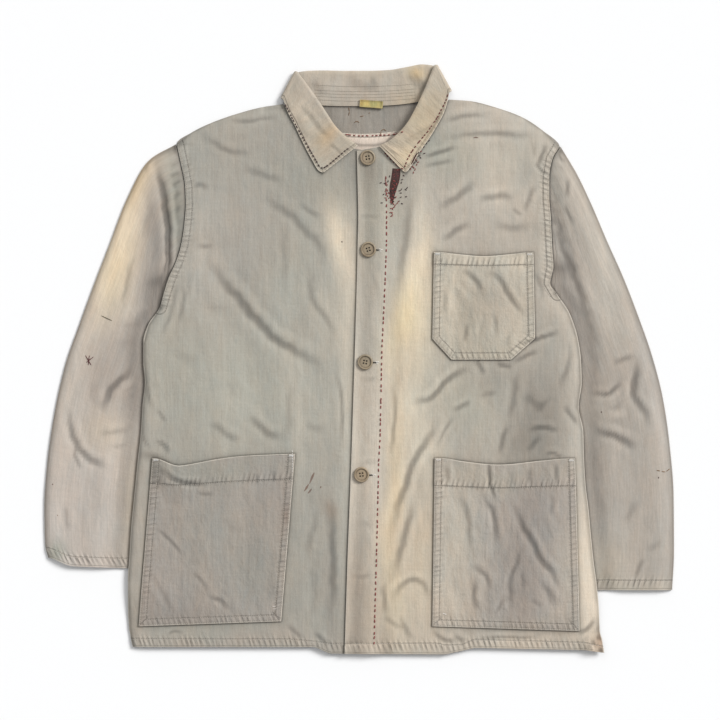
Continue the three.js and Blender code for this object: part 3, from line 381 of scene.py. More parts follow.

# Colour changes on each piece, some of them painted shade along folds and in hollows.
FADES_AND_SHADES: dict[str, tuple[FadeAndShade, ...]] = {
    piece: tuple(FadeAndShade(*row) for row in rows)
    for piece, rows in {
        "front_right": (
            (-28, 165, 62, 15, -8, (226, 210, 186), 0.9), (-12, 110, 70, 9, -4, (214, 199, 178), 0.7),
            (-14, 20, 80, 8, 0, (203, 192, 174), 0.6), (-180, 160, 100, 60, 20, (176, 168, 157), 0.6),
            (-140, -40, 70, 90, 10, (178, 175, 162), 0.7), (-230, 0, 60, 40, 10, (172, 167, 154), 0.6),
            # The narrow dark strip at (-36, -280) is painted shade along the fold beside the placket.
            (-82, -60, 80, 12, 0, (186, 179, 165), 0.6), (-36, -280, 90, 7, 0, (146, 141, 132), 0.5),
            (-20, -90, 110, 9, 0, (196, 188, 173), 0.6), (-48, -90, 30, 15, 0, (152, 147, 138), 0.45),
            (-34, -188, 13, 9, 0, (150, 134, 118), 0.5), (-70, -220, 80, 14, 0, (165, 160, 149), 0.6),
            (-285, -240, 130, 14, 2, (174, 165, 153), 0.7), (-62, 240, 36, 60, 0, (160, 157, 146), 0.6),
            (-82, 110, 80, 16, 8, (172, 169, 157), 0.5), (-205, 255, 40, 30, 0, (166, 162, 152), 0.6),
            (-206, 178, 46, 16, 0, (184, 177, 165), 0.6), (-120, 290, 26, 50, 10, (168, 162, 151), 0.6),
            (-150, -366, 12, 160, 0, (170, 160, 148), 0.7), (-34, 70, 60, 26, 0, (186, 180, 166), 0.6),
            (-50, -70, 50, 26, 0, (184, 178, 164), 0.5), (-160, -138, 10, 80, 0, (184, 178, 165), 0.6),
            # The dark strip at (-252, -133) is painted shade inside the lower right pocket's gaping mouth.
            (-252, -133, 5, 26, 4, (112, 106, 97), 0.8), (-100, 82, 40, 24, 0, (176, 172, 160), 0.5),
            (6, 254, 20, 20, 0, (146, 140, 130), 0.6), (22, 100, 90, 18, 0, (196, 187, 171), 0.6),
            (-57, 332, 14, 20, 0, (196, 186, 168), 0.5), (20, -310, 60, 30, 0, (148, 142, 132), 0.7),
        ),
        "front_left": (
            (72, 104, 52, 13, 8, (232, 217, 192), 0.95), (64, 42, 50, 22, 8, BUTTER, 0.95),
            (74, -8, 40, 24, 0, (211, 197, 174), 0.8), (60, -70, 50, 20, 0, (216, 204, 184), 0.85),
            (44, -180, 115, 13, 1, (221, 202, 172), 0.85), (46, -300, 66, 17, -4, (212, 195, 168), 0.8),
            (84, -270, 90, 22, 0, (206, 190, 166), 0.7), (72, 168, 50, 12, 8, (214, 203, 184), 0.6),
            (174, 256, 50, 34, 0, (208, 196, 180), 0.85), (132, -50, 52, 50, -8, (182, 178, 163), 0.6),
            (232, -62, 62, 36, 0, (150, 144, 134), 0.85), (246, 20, 40, 24, 0, (170, 163, 151), 0.6),
            (105, 268, 34, 60, 0, (168, 165, 152), 0.7), (216, 262, 34, 40, 10, (174, 168, 156), 0.6),
            (38, 205, 60, 20, 0, (172, 169, 156), 0.6), (34, 70, 90, 12, 2, (184, 178, 164), 0.5),
            (190, -366, 14, 120, 0, (196, 182, 164), 0.6), (300, -310, 90, 18, 3, (210, 196, 177), 0.85),
            (240, 185, 70, 12, 0, (196, 187, 172), 0.6), (12, 200, 90, 17, 0, (176, 169, 154), 0.8),
            (4, 20, 110, 17, 2, (190, 182, 168), 0.8), (0, -120, 110, 19, 2, (210, 198, 181), 0.85),
            (-2, -315, 90, 20, 2, (184, 171, 155), 0.85), (90, 70, 50, 18, 6, (220, 206, 182), 0.6),
            (76, -120, 50, 16, 0, (206, 196, 176), 0.5), (200, 272, 20, 26, 0, (196, 186, 170), 0.6),
            (216, -108, 26, 30, 0, (140, 134, 124), 0.6), (214, 118, 26, 14, 0, (160, 153, 142), 0.5),
            # The brown patch at (312, -370) is a stain, together with painted shade in the curled corner's crease.
            (312, -370, 12, 9, 0, (150, 126, 106), 0.7), (296, -262, 50, 20, 0, (206, 195, 178), 0.6),
            (100, -136, 30, 20, 0, (206, 196, 178), 0.5), (20, -320, 60, 16, 0, (170, 158, 142), 0.5),
            (140, -255, 120, 6, 0, (164, 154, 140), 0.4), (178, -18, 20, 24, 0, (158, 151, 139), 0.6),
            (20, 252, 24, 22, 0, (150, 144, 133), 0.6), (60, 213, 26, 14, 0, (168, 162, 150), 0.4),
        ),
        "collar": (
            (100, 330, 20, 16, -28, (176, 160, 134), 0.6), (-76, 300, 60, 24, 28, (204, 191, 172), 0.8),
            (-36, 300, 22, 7, 35, (208, 182, 148), 0.7), (-52, 254, 12, 12, 0, (196, 190, 174), 0.6),
            (88, 296, 60, 26, -28, (193, 176, 150), 0.9), (62, 256, 14, 14, 0, (214, 196, 166), 0.8),
            (46, 268, 10, 10, 0, (208, 190, 164), 0.6), (0, 354, 26, 96, 0, (182, 172, 158), 0.9),
            (76, 366, 8, 10, 0, (216, 190, 150), 0.8), (-14, 366, 10, 50, 0, (190, 180, 166), 0.7),
            (-60, 356, 14, 12, 20, (196, 184, 168), 0.7),
        ),
        "sleeve_left": (
            (326, -262, 44, 26, 0, (196, 186, 170), 0.7), (402, -110, 60, 16, -6, (190, 182, 172), 0.6),
            (300, -132, 40, 20, 0, (150, 142, 132), 0.5), (256, 212, 80, 11, -8, (158, 154, 144), 0.8),
            (318, 96, 140, 22, -20, (192, 183, 170), 0.8), (272, 92, 110, 14, -10, (160, 152, 143), 0.8),
            (300, 210, 60, 12, -28, (176, 169, 158), 0.6), (356, -12, 34, 26, 0, (166, 157, 147), 0.6),
            (304, -75, 30, 26, 0, (178, 168, 155), 0.6), (392, -60, 150, 14, -8, (178, 170, 161), 0.7),
            (330, -170, 70, 50, 0, (178, 169, 158), 0.6), (330, -290, 12, 100, 0, (184, 175, 160), 0.7),
        ),
        "pocket_chest": (
            (150, 60, 40, 30, 0, (174, 165, 148), 0.5), (120, 80, 60, 13, 0, (208, 197, 178), 0.6),
            (180, 86, 40, 30, -20, (180, 170, 155), 0.7), (160, 12, 16, 60, 0, (186, 177, 160), 0.6),
            (162, 136, 9, 80, 0, (200, 190, 173), 0.6),
        ),
        "pocket_lower_right": (
            (-262, -150, 14, 16, 0, (128, 121, 112), 0.6), (-270, -330, 26, 40, 0, (150, 142, 133), 0.5),
            (-190, -210, 80, 70, 0, (157, 152, 142), 0.6), (-130, -280, 50, 40, 0, (153, 149, 139), 0.6),
            (-94, -205, 15, 6, 0, (142, 126, 114), 0.5), (-255, -300, 70, 26, 0, (166, 156, 146), 0.6),
            (-200, -136, 16, 110, 3, (158, 154, 143), 0.7),
        ),
        "sleeve_right": (
            (-310, 80, 44, 22, 0, (212, 197, 172), 0.6), (-286, -16, 26, 22, 0, (152, 144, 134), 0.6),
            (-318, 150, 130, 30, 20, (224, 206, 180), 0.95), (-290, 232, 40, 16, 30, (214, 192, 158), 0.8),
            (-320, 100, 40, 16, 14, (224, 203, 170), 0.7), (-366, 10, 90, 26, 12, (192, 181, 169), 0.8),
            (-318, -20, 60, 26, 10, (170, 160, 150), 0.7), (-266, 120, 130, 17, 2, (158, 150, 141), 0.95),
            (-240, 209, 70, 12, -3, (156, 153, 142), 0.95), (-286, -34, 50, 36, 30, (166, 157, 147), 0.8),
            (-337, -100, 28, 26, 0, (200, 185, 166), 0.7), (-290, -200, 70, 20, 0, (202, 188, 168), 0.7),
            (-376, -190, 70, 24, 4, (194, 184, 174), 0.7), (-340, -190, 60, 16, 0, (180, 171, 161), 0.5),
            (-392, -244, 12, 14, -40, (160, 158, 146), 0.8),
        ),
        "pocket_lower_left": (
            (114, -322, 28, 26, 0, (198, 183, 165), 0.8), (190, -146, 16, 100, 0, (174, 166, 152), 0.7),
            (218, -245, 110, 28, 4, (150, 142, 134), 0.8), (276, -290, 60, 14, 0, (186, 176, 162), 0.7),
            (124, -230, 110, 34, 0, (192, 183, 168), 0.85), (190, -343, 10, 100, 0, (178, 167, 153), 0.6),
        ),
    }.items()
}


def smooth(t: Array | float) -> Array:
    """Ease from 0 to 1 as t goes from 0 to 1."""
    t = np.clip(t, 0, 1)
    return t * t * (3 - 2 * t)


def mix(a: Array | float, b: Array | float, t: Array | float) -> Array:
    """Go from a to b as t goes from 0 to 1."""
    return a + (b - a) * t


def rolled(from_edge: Array) -> Array:
    """Give the share of its full height that cloth reaches at a distance in mm from a folded edge."""
    t = 1 - np.clip(from_edge / EDGE_ROLL, 0, 1)
    return 1 - t * t * t


def line_at(line: Line, at: Array | float, down: bool = False) -> Array:
    """Read a line at a place along it.

    Args:
        line: (x, y) points in order along the line.
        at: x where y is wanted, or y where x is wanted.
        down: read x at a given y.

    Returns:
        The other coordinate at each place, held at the line's ends.
    """
    points = np.asarray(line, float)
    points = points[:, ::-1] if down else points
    points = points[np.argsort(points[:, 0], kind="stable")]
    return np.interp(at, points[:, 0], points[:, 1])


def curve(rows: Sequence[Sequence[float]], at: Array) -> Array:
    """Read a table's columns at fractional rows, on a curve that never passes its own rows' values.

    Args:
        rows: the table.
        at: fractional row numbers.

    Returns:
        One row of column values for each place.
    """
    table = np.asarray(rows, float)
    step = np.diff(table, axis=0)
    slope = np.zeros_like(table)
    product = step[:-1] * step[1:]
    total = np.where(product > 0, step[:-1] + step[1:], 1)
    slope[1:-1] = np.where(product > 0, 2 * product / total, 0)
    slope[0], slope[-1] = step[0], step[-1]
    i = np.clip(np.floor(at).astype(int), 0, len(table) - 2)
    t = (np.asarray(at) - i)[:, None]
    a, b = table[i], table[i + 1]
    return (
        a * (2 * t**3 - 3 * t**2 + 1)
        + b * (3 * t**2 - 2 * t**3)
        + slope[i] * (t**3 - 2 * t**2 + t)
        + slope[i + 1] * (t**3 - t**2)
    )


def to_segment(x: Array, y: Array, a: Sequence[float], b: Sequence[float]) -> tuple[Array, Array]:
    """Measure to a straight segment.

    Args:
        x: places.
        y: places.
        a: the segment's start.
        b: the segment's end.

    Returns:
        The distance from each place, and how far along the segment its nearest point is, from 0 to 1.
    """
    dx, dy = b[0] - a[0], b[1] - a[1]
    t = np.clip(((x - a[0]) * dx + (y - a[1]) * dy) / (dx * dx + dy * dy), 0, 1)
    return np.hypot(x - a[0] - t * dx, y - a[1] - t * dy), t


def to_line(x: Array, y: Array, line: Line) -> tuple[Array, Array]:
    """Measure to a line of points.

    Args:
        x: places.
        y: places.
        line: the line's points.

    Returns:
        The distance from each place, and how far along the line in mm its nearest point is.
    """
    nearest, along, run = np.full(np.shape(x), np.inf), np.zeros(np.shape(x)), 0.0
    for a, b in zip(line[:-1], line[1:]):
        length = math.dist(a, b)
        distance, t = to_segment(x, y, a, b)
        closer = distance < nearest
        nearest = np.where(closer, distance, nearest)
        along = np.where(closer, run + t * length, along)
        run += length
    return nearest, along


def softened(line: Line) -> Array:
    """Round a line's corners by cutting them twice.

    Args:
        line: plan points.

    Returns:
        The rounder line.
    """
    points = np.asarray(line, float)
    for _ in range(2):
        a, b = points[:-1], points[1:]
        cut = np.stack([a * 0.75 + b * 0.25, a * 0.25 + b * 0.75], axis=1).reshape(-1, 2)
        points = np.concatenate([points[:1], cut, points[-1:]])
    return points


def fold_height(folds: Sequence[Fold], x: Array, y: Array) -> Array:
    """Add up a table of folds, each a trough with a crest on its left that dies out towards both ends.

    Args:
        folds: the table.
        x: places.
        y: places.

    Returns:
        The height that they add at each place.
    """
    height = np.zeros(np.shape(x))
    for fold in folds:
        line, reach = softened(fold.line), 4.5 * fold.width
        low, high = line.min(axis=0) - reach, line.max(axis=0) + reach
        close = (x > low[0]) & (x < high[0]) & (y > low[1]) & (y < high[1])
        if not close.any():
            continue
        px, py = x[close], y[close]
        nearest, aside, along, run = np.full(px.shape, np.inf), np.zeros(px.shape), np.zeros(px.shape), 0.0
        for a, b in zip(line[:-1], line[1:]):
            distance, t = to_segment(px, py, a, b)
            left = (py - a[1]) * (b[0] - a[0]) - (px - a[0]) * (b[1] - a[1])
            closer, length = distance < nearest, math.dist(a, b)
            nearest = np.where(closer, distance, nearest)
            aside = np.where(closer, np.sign(left) * distance, aside)
            along = np.where(closer, run + t * length, along)
            run += length
        place = along / run
        arch = np.sin(np.pi * np.clip(place, 0, 1))
        wander = 0.25 * np.sin(along / 7.3 + line[0, 0]) + 0.15 * np.sin(along / 3.1 + line[0, 1])
        across = aside / (fold.width * (1.3 - 0.5 * arch)) + wander * 0.4
        trough = np.exp(-(across**2))
        crest = fold.crest * np.exp(-(((across - 1.7) / 1.0) ** 2)) + 0.05 * np.exp(-(((across + 2.1) / 1.2) ** 2))
        height[close] -= fold.depth * (trough - crest) * smooth(np.minimum(place, 1 - place) / 0.42)
    return height


@dataclass(frozen=True)
class Half:
    """One half of the body with its sleeve, as lines on the plan."""

    side: Side
    rows: tuple[HalfRow, ...]
    sleeve: tuple[SleeveRow, ...]

    @property
    def edge(self) -> Array:
        """The outer edge, from the collar to the hem."""
        return np.array([(row.side_x, row.side_y) for row in self.rows], float)

    @property
    def folded(self) -> tuple[Array, Array]:
        """The two stretches of the edge that are folded: the shoulder and the side."""
        return self.edge[: TIP_ROW + 1], self.edge[UNDERARM_ROW:]

    @property
    def armhole(self) -> Array:
        """The armhole seam, from the shoulder's tip to the underarm."""
        return self.edge[TIP_ROW : UNDERARM_ROW + 1]

    @property
    def hidden(self) -> Array:
        """The sleeve's fold under the body."""
        return np.array([(row.inner_x, row.inner_y) for row in self.sleeve], float)


HALVES = {
    Side.RIGHT: Half(Side.RIGHT, RIGHT_HALF, RIGHT_SLEEVE),
    Side.LEFT: Half(Side.LEFT, LEFT_HALF, LEFT_SLEEVE),
}


class Lay:
    """How high each layer lies, as in the part's source, with the small creases added."""

    @staticmethod
    def back_lift(x: Array, y: Array) -> Array:
        """Give the height of the back's underside, which a sleeve lifts where it passes below.

        Args:
            x: places.
            y: places.

        Returns:
            The height at each place.
        """
        height = np.zeros(np.shape(x))
        for side, half in HALVES.items():
            hidden = half.hidden
            edge = line_at(hidden, np.clip(y, hidden[-1, 1], hidden[0, 1]), down=True)
            across = 1 - smooth(((edge - x) * side.value - LIFT_PLATEAU) / LIFT_RAMP)
            above = smooth((half.edge[UNDERARM_ROW, 1] + 92 - y) / 62)
            below = smooth((y - hidden[-1, 1] + 72) / 56)
            mine = (x < 0) if side is Side.RIGHT else (x >= 0)
            height = np.where(mine, BACK_LIFT * across * above * below, height)
        return height

    @staticmethod
    def front_hollow(x: Array, y: Array) -> Array:
        """Give the space under the fronts.

        Args:
            x: places.
            y: places.

        Returns:
            The height of the space at each place.
        """
        reach = [np.minimum(*(to_line(x, y, line)[0] for line in HALVES[side].folded)) for side in Side]
        near = np.where(x < 0, reach[0], reach[1])
        buttoned = smooth(np.abs(x - line_at(PLACKET, y, down=True) - BUTTON_INSET) / 22)
        hollow = (FRONT_HOLLOW + FULLNESS * buttoned) * rolled(near)
        folds = FOLD_GAIN * fold_height(BODY_FOLDS, x, y) * smooth(near / 9)
        return np.maximum(0, hollow + folds * mix(0.25, 1, buttoned))

    @classmethod
    def front_under(cls, side: Side, x: Array, y: Array) -> Array:
        """Give the height of a front's underside. The left front lies on the right one at the closure.

        Args:
            side: the front's side.
            x: places.
            y: places.

        Returns:
            The height at each place.
        """
        past = x - line_at(PLACKET, y, down=True) - OVERLAP
        over = (LAYER + HEM_EXTRA * cls.in_hem(x, y)) * (1 - smooth(past / OVERLAP_RAMP))
        under = cls.back_lift(x, y) + LAYER + cls.front_hollow(x, y)
        return under + over if side is Side.LEFT else under

    @staticmethod
    def in_hem(x: Array, y: Array) -> Array:
        """Tell where the turned hem is, from 0 to 1."""
        return smooth((line_at(HEM, x) + line_at(HEM_BAND, x) + 1.2 - y) / 1.8)

    @classmethod
    def front_top(cls, side: Side, x: Array, y: Array) -> Array:
        """Give the height of a front's upper face, with its hem, facing and armhole seam.

        Args:
            side: the front's side.
            x: places.
            y: places.

        Returns:
            The height at each place.
        """
        top = cls.front_under(side, x, y) + CLOTH + HEM_EXTRA * cls.in_hem(x, y)
        if side is Side.LEFT:
            inward = x - line_at(PLACKET, y, down=True)
            top += 0.5 * smooth((FACING_WIDTH - inward) / 2)
        from_seam, _ = to_line(x, y, HALVES[side].armhole)
        return top + 0.5 * smooth((9.5 - from_seam) / 2)

    @staticmethod
    def sleeve_top(half: Half, x: Array, y: Array, from_edge: Array) -> Array:
        """Give the height of a sleeve's upper face: full beside the body, pressed flat under it.

        Args:
            half: the half of the body that the sleeve belongs to.
            x: places.
            y: places.
            from_edge: distance from the sleeve's folded edges.

        Returns:
            The height at each place.
        """
        side_x = line_at(half.edge, y, down=True)
        beside = (x - side_x) * half.side.value
        below = smooth((half.edge[UNDERARM_ROW, 1] + 60 - y) / 30)
        free = mix(1, smooth((beside - 9) / SLEEVE_RISE), below)
        opened = rolled(from_edge)
        folds = FOLD_GAIN * fold_height(SLEEVE_FOLDS, x, y) * smooth(from_edge / 9)
        hollow = (SLEEVE_HOLLOW + FULLNESS) * opened + folds
        return 2 * CLOTH + mix(PRESSED_HOLLOW, np.maximum(PRESSED_HOLLOW, hollow), free)


class DyeAndShade:
    """The cloth's colour from place to place, with painted shade in the troughs of its folds and a painted highlight on
    their crests.
    """

    GROUND: dict[str, Colour] = {
        "front_right": (165, 160, 149),
        "front_left": (183, 174, 161),
        "back": (154, 147, 137),
        "pocket_chest": (193, 184, 168),
        "pocket_lower_right": (163, 154, 145),
        "pocket_lower_left": (171, 162, 152),
        "sleeve_right": (188, 178, 168),
        "sleeve_left": (173, 164, 153),
        "collar": (192, 179, 160),
        "neck_patch": (226, 211, 195),
    }

    @staticmethod
    def linear(colour: Array | Colour) -> Array:
        """Turn a colour as it shows, from 0 to 255, into how much light the cloth sends back."""
        c = np.asarray(colour, float) / 255
        return np.where(c <= 0.04045, c / 12.92, ((c + 0.055) / 1.055) ** 2.4) / LIGHT_LEVEL

    @classmethod
    def at(cls, piece: str, x: Array, y: Array, height: Array) -> Array:
        """Colour a piece.

        Args:
            piece: its name.
            x: places.
            y: places.
            height: height of the face at each place, for the painted highlight on its ridges and the painted shade in
                its troughs.

        Returns:
            A linear colour for each place.
        """
        u = x + 4 * np.sin(y / 47 + 1) + 2 * np.sin(y / 19 + x / 31)
        v = y + 9 * np.sin(x / 31 + 2) + 4 * np.sin(x / 11 + y / 61)
        shown = np.broadcast_to(np.array(cls.GROUND[piece], float), (*x.shape, 3)).copy()
        # Patches of changed colour, some of them painted shade.
        for fade_and_shade in FADES_AND_SHADES.get(piece, ()):
            lean = math.radians(fade_and_shade.lean)
            dx, dy = u - fade_and_shade.x, v - fade_and_shade.y
            down = dx * math.sin(lean) + dy * math.cos(lean)
            across = dx * math.cos(lean) - dy * math.sin(lean)
            far = (down / fade_and_shade.long) ** 2 + (across / fade_and_shade.wide) ** 2
            amount = fade_and_shade.strength * np.exp(-far * 0.8)
            shown += (np.array(fade_and_shade.colour) - shown) * amount[..., None]
        shown += (shown - np.array(cls.GROUND[piece])) * 0.16
        # Painted shade in the folds' troughs and a painted highlight on their crests, from each height against its
        # local average.
        gain = np.ones(x.shape)
        for reach, size, strength in ((2, 0.2, 0.06), (5, 0.6, 0.09), (9, 1.2, 0.05)):
            relief = np.tanh((height - blurred(height, reach)) / size)
            gain += strength * np.where(relief < 0, 1.3 * relief, 0.4 * relief)
        return cls.linear(np.clip(shown * gain[..., None], 0, 255))


def blurred(height: Array, reach: int) -> Array:
    """Average a grid of heights over a square of 2 * reach + 1 places.

    Args:
        height: heights on a grid.
        reach: how many places on each side.

    Returns:
        The averaged heights.
    """
    for axis in (0, 1):
        pad = [(reach + 1, reach) if a == axis else (0, 0) for a in (0, 1)]
        total = np.cumsum(np.pad(height, pad, mode="edge"), axis=axis)
        size = 2 * reach + 1
        upper = np.take(total, range(size, total.shape[axis]), axis=axis)
        lower = np.take(total, range(0, total.shape[axis] - size), axis=axis)
        height = (upper - lower) / size
    return height


def edged(length: float, pitch: float, start: float = 0.0, end: float = 1.0) -> Array:
    """Space columns evenly, with a few close to both edges so that the edges can be rounded.

    Args:
        length: the length in mm that 0 to 1 stands for.
        pitch: spacing in mm away from the edges.
        start: the first place.
        end: the last place.

    Returns:
        Places from start to end.
    """
    inset = np.array([0, 0.25, 0.8]) / length
    middle = np.linspace(start, end, max(4, round(length * (end - start) / pitch)) + 1)[1:-1]
    middle = middle[(middle > start + inset[-1] * 1.5) & (middle < end - inset[-1] * 1.5)]
    return np.concatenate([start + inset, middle, end - inset[::-1]])


def tube_quads(index: Array) -> Array:
    """Join rings of points, a row of point numbers each, with four-sided faces."""
    after = np.roll(index, -1, 1)
    return np.stack([index[:-1], after[:-1], after[1:], index[1:]], -1).reshape(-1, 4)


def rim(shape: tuple[int, int]) -> Array:
    """Share of the full thickness at each place of an edged grid.

    Args:
        shape: the grid's rows and columns.

    Returns:
        A share for each place.
    """
    profile = np.array([0.35, 0.8])

    def side(count: int) -> Array:
        """Thin the first and last places.

        Args:
            count: how many places there are.

        Returns:
            A share for each place.
        """
        line = np.ones(count)
        line[:2], line[-2:] = profile, profile[::-1]
        return line

    return side(shape[0])[:, None] * side(shape[1])[None, :]


@dataclass
class Workshop:
    """Turns plans in millimetres into Blender objects in the frame's metres."""

    origin: tuple[float, float] = (0.0, 0.0)
    made: list[bpy.types.Object] = field(default_factory=list)

    def place(self, points: Array) -> Array:
        """Turn plan points in mm into metres in the part's frame."""
        shift = np.array([self.origin[0], self.origin[1], 0.0])
        return (np.asarray(points, float) + shift) / 1000

    def mesh(
        self,
        name: str,
        points: Array,
        quads: Array,
        material: bpy.types.Material,
        fields: dict[str, Array] | None = None,
        sharp: float = 50.0,
    ) -> bpy.types.Object:
        """Make an object from points and four-sided faces.

        Args:
            name: the object's name.
            points: its points in mm.
            quads: its faces, as rows of four point numbers. A row that repeats its last number is a triangle.
            material: its material.
            fields: three values for each point by name: a linear colour with its painted shade in the colour field, and
                sizes in mm in the others.
            sharp: edges steeper than this many degrees stay crisp.

        Returns:
            The object.
        """
        mesh = bpy.data.meshes.new(name)
        faces = [q[:3] if q[2] == q[3] else q for q in np.asarray(quads).tolist()]
        mesh.from_pydata(self.place(points), [], faces)
        mesh.polygons.foreach_set("use_smooth", [True] * len(mesh.polygons))
        mesh.set_sharp_from_angle(angle=math.radians(sharp))
        for label, values in (fields or {}).items():
            flat = values.reshape(-1, 3)
            if label == "dye":
                colours = np.concatenate([flat, np.ones((len(flat), 1))], axis=1)
                mesh.attributes.new(label, "FLOAT_COLOR", "POINT").data.foreach_set("color", colours.ravel())
            else:
                mesh.attributes.new(label, "FLOAT_VECTOR", "POINT").data.foreach_set("vector", flat.ravel() / 1000)
        mesh.update()
        obj = bpy.data.objects.new(name, mesh)
        bpy.context.scene.collection.objects.link(obj)
        mesh.materials.append(material)
        self.made.append(obj)
        return obj

    def shell(
        self,
        name: str,
        lower: Array,
        upper: Array,
        material: bpy.types.Material,
        fields: dict[str, Array] | None = None,
    ) -> bpy.types.Object:
        """Close a cloth wall between two grids of points.

        Args:
            name: the object's name.
            lower: the inner or under face, as [row][column][x, y, z].
            upper: the outer or upper face, the same way.
            material: its material.
            fields: three values for each place of the grid by name.

        Returns:
            The object.
        """
        rows, columns = lower.shape[:2]
        index = np.arange(rows * columns).reshape(rows, columns)
        top = index + rows * columns
        a, b, c, d = index[:-1, :-1], index[1:, :-1], index[1:, 1:], index[:-1, 1:]
        quads = [np.stack([a, b, c, d], -1).reshape(-1, 4)]
        a, b, c, d = top[:-1, :-1], top[:-1, 1:], top[1:, 1:], top[1:, :-1]
        quads.append(np.stack([a, b, c, d], -1).reshape(-1, 4))
        loop = np.concatenate([index[0, :-1], index[:-1, -1], index[-1, :0:-1], index[:0:-1, 0]])
        after = np.roll(loop, -1)
        size = rows * columns
        quads.append(np.stack([loop, after, after + size, loop + size], -1))
        points = np.concatenate([lower.reshape(-1, 3), upper.reshape(-1, 3)])
        faces = self.facing_out(points, np.concatenate(quads))
        both = {label: np.concatenate([values.reshape(-1, 3)] * 2) for label, values in (fields or {}).items()}
        return self.mesh(name, points, faces, material, both)

    @staticmethod
    def facing_out(points: Array, faces: Array) -> Array:
        """Turn a closed mesh's faces round if they face in.

        Args:
            points: the mesh's points.
            faces: its faces.

        Returns:
            The faces, turned to face out.
        """
        a, b, c, d = (points[faces[:, k]] for k in range(4))
        volume = np.einsum("ij,ij->i", a, np.cross(b, c)).sum() + np.einsum("ij,ij->i", a, np.cross(c, d)).sum()
        return faces if volume > 0 else faces[:, ::-1]


class Sockets:
    """Short ways to wire shader nodes."""

    def __init__(self, tree: bpy.types.NodeTree) -> None:
        """Work in a node tree."""
        self.tree = tree

    def node(self, kind: str, **settings: object) -> bpy.types.Node:
        """Add a node.

        Args:
            kind: the node's type, without ShaderNode.
            settings: its properties.

        Returns:
            The node.
        """
        node = self.tree.nodes.new("ShaderNode" + kind)
        for name, value in settings.items():
            setattr(node, name, value)
        return node

    def link(self, source: bpy.types.NodeSocket, target: bpy.types.NodeSocket) -> None:
        """Join two sockets."""
        self.tree.links.new(source, target)

    def feed(self, value: object, target: bpy.types.NodeSocket) -> None:
        """Join a socket, or set a plain value.

        Args:
            value: a socket or a number.
            target: the socket to fill.
        """
        if isinstance(value, bpy.types.NodeSocket):
            self.link(value, target)
        else:
            target.default_value = value

    def math(self, operation: str, a: object, b: object = 0.0, c: object = 0.0) -> bpy.types.NodeSocket:
        """Do arithmetic on two or three values.

        Args:
            operation: the kind of arithmetic.
            a: first value.
            b: second value.
            c: third value, for operations that take one.

        Returns:
            The result.
        """
        node = self.node("Math", operation=operation)
        for value, socket in zip((a, b, c), node.inputs):
            self.feed(value, socket)
        return node.outputs[0]

    def noise(self, place: object, scale: object, detail: float = 2.0, rough: float = 0.5) -> bpy.types.NodeSocket:
        """Add a noise texture and give its value.

        Args:
            place: a place on the cloth.
            scale: how fine it is.
            detail: how many finer layers it has.
            rough: how strong those layers are.

        Returns:
            The noise's value.
        """
        node = self.node("TexNoise")
        self.feed(place, node.inputs["Vector"])
        self.feed(scale, node.inputs["Scale"])
        node.inputs["Detail"].default_value = detail
        node.inputs["Roughness"].default_value = rough
        return node.outputs["Fac"]

    def stretch(self, place: object, scale: tuple[float, float, float]) -> bpy.types.NodeSocket:
        """Scale a place on the cloth along each axis.

        Args:
            place: a place on the cloth.
            scale: a factor for each axis.

        Returns:
            The scaled place.
        """
        node = self.node("VectorMath", operation="MULTIPLY")
        self.feed(place, node.inputs[0])
        node.inputs[1].default_value = scale
        return node.outputs[0]

    def split(self, vector: object) -> tuple[bpy.types.NodeSocket, bpy.types.NodeSocket, bpy.types.NodeSocket]:
        """Take a vector apart.

        Args:
            vector: the vector.

        Returns:
            Its x, y and z.
        """
        node = self.node("SeparateXYZ")
        self.feed(vector, node.inputs[0])
        return node.outputs[0], node.outputs[1], node.outputs[2]

    def bell(self, value: object, width: float) -> bpy.types.NodeSocket:
        """Give 1 at zero, falling off smoothly on both sides."""
        square = self.math("POWER", self.math("ABSOLUTE", self.math("DIVIDE", value, width)), 2.0)
        return self.math("EXPONENT", self.math("MULTIPLY", square, -1.0))

    def attribute(self, name: str, output: str) -> bpy.types.NodeSocket:
        """Read a mesh attribute."""
        return self.node("Attribute", attribute_name=name).outputs[output]

    def group(self, group: bpy.types.NodeTree) -> bpy.types.Node:
        """Add a shared effect."""
        return self.node("Group", node_tree=group)

    def spread(self, value: object, low: float, high: float, out_low: float, out_high: float) -> bpy.types.NodeSocket:
        """Map a range of values to another one, held at its ends.

        Args:
            value: a socket or a number.
            low: lower end of the range.
            high: upper end of the range.
            out_low: what the lower end becomes.
            out_high: what the upper end becomes.

        Returns:
            The mapped value.
        """
        node = self.node("MapRange", interpolation_type="SMOOTHSTEP")
        for item, socket in zip((value, low, high, out_low, out_high), node.inputs):
            self.feed(item, socket)
        return node.outputs[0]

    def tint(self, colour: object, gain: object) -> bpy.types.NodeSocket:
        """Make a colour lighter or darker by a factor.

        Args:
            colour: the colour.
            gain: the factor.

        Returns:
            The new colour.
        """
        node = self.node("VectorMath", operation="SCALE")
        self.feed(colour, node.inputs[0])
        self.feed(gain, node.inputs["Scale"])
        return node.outputs[0]


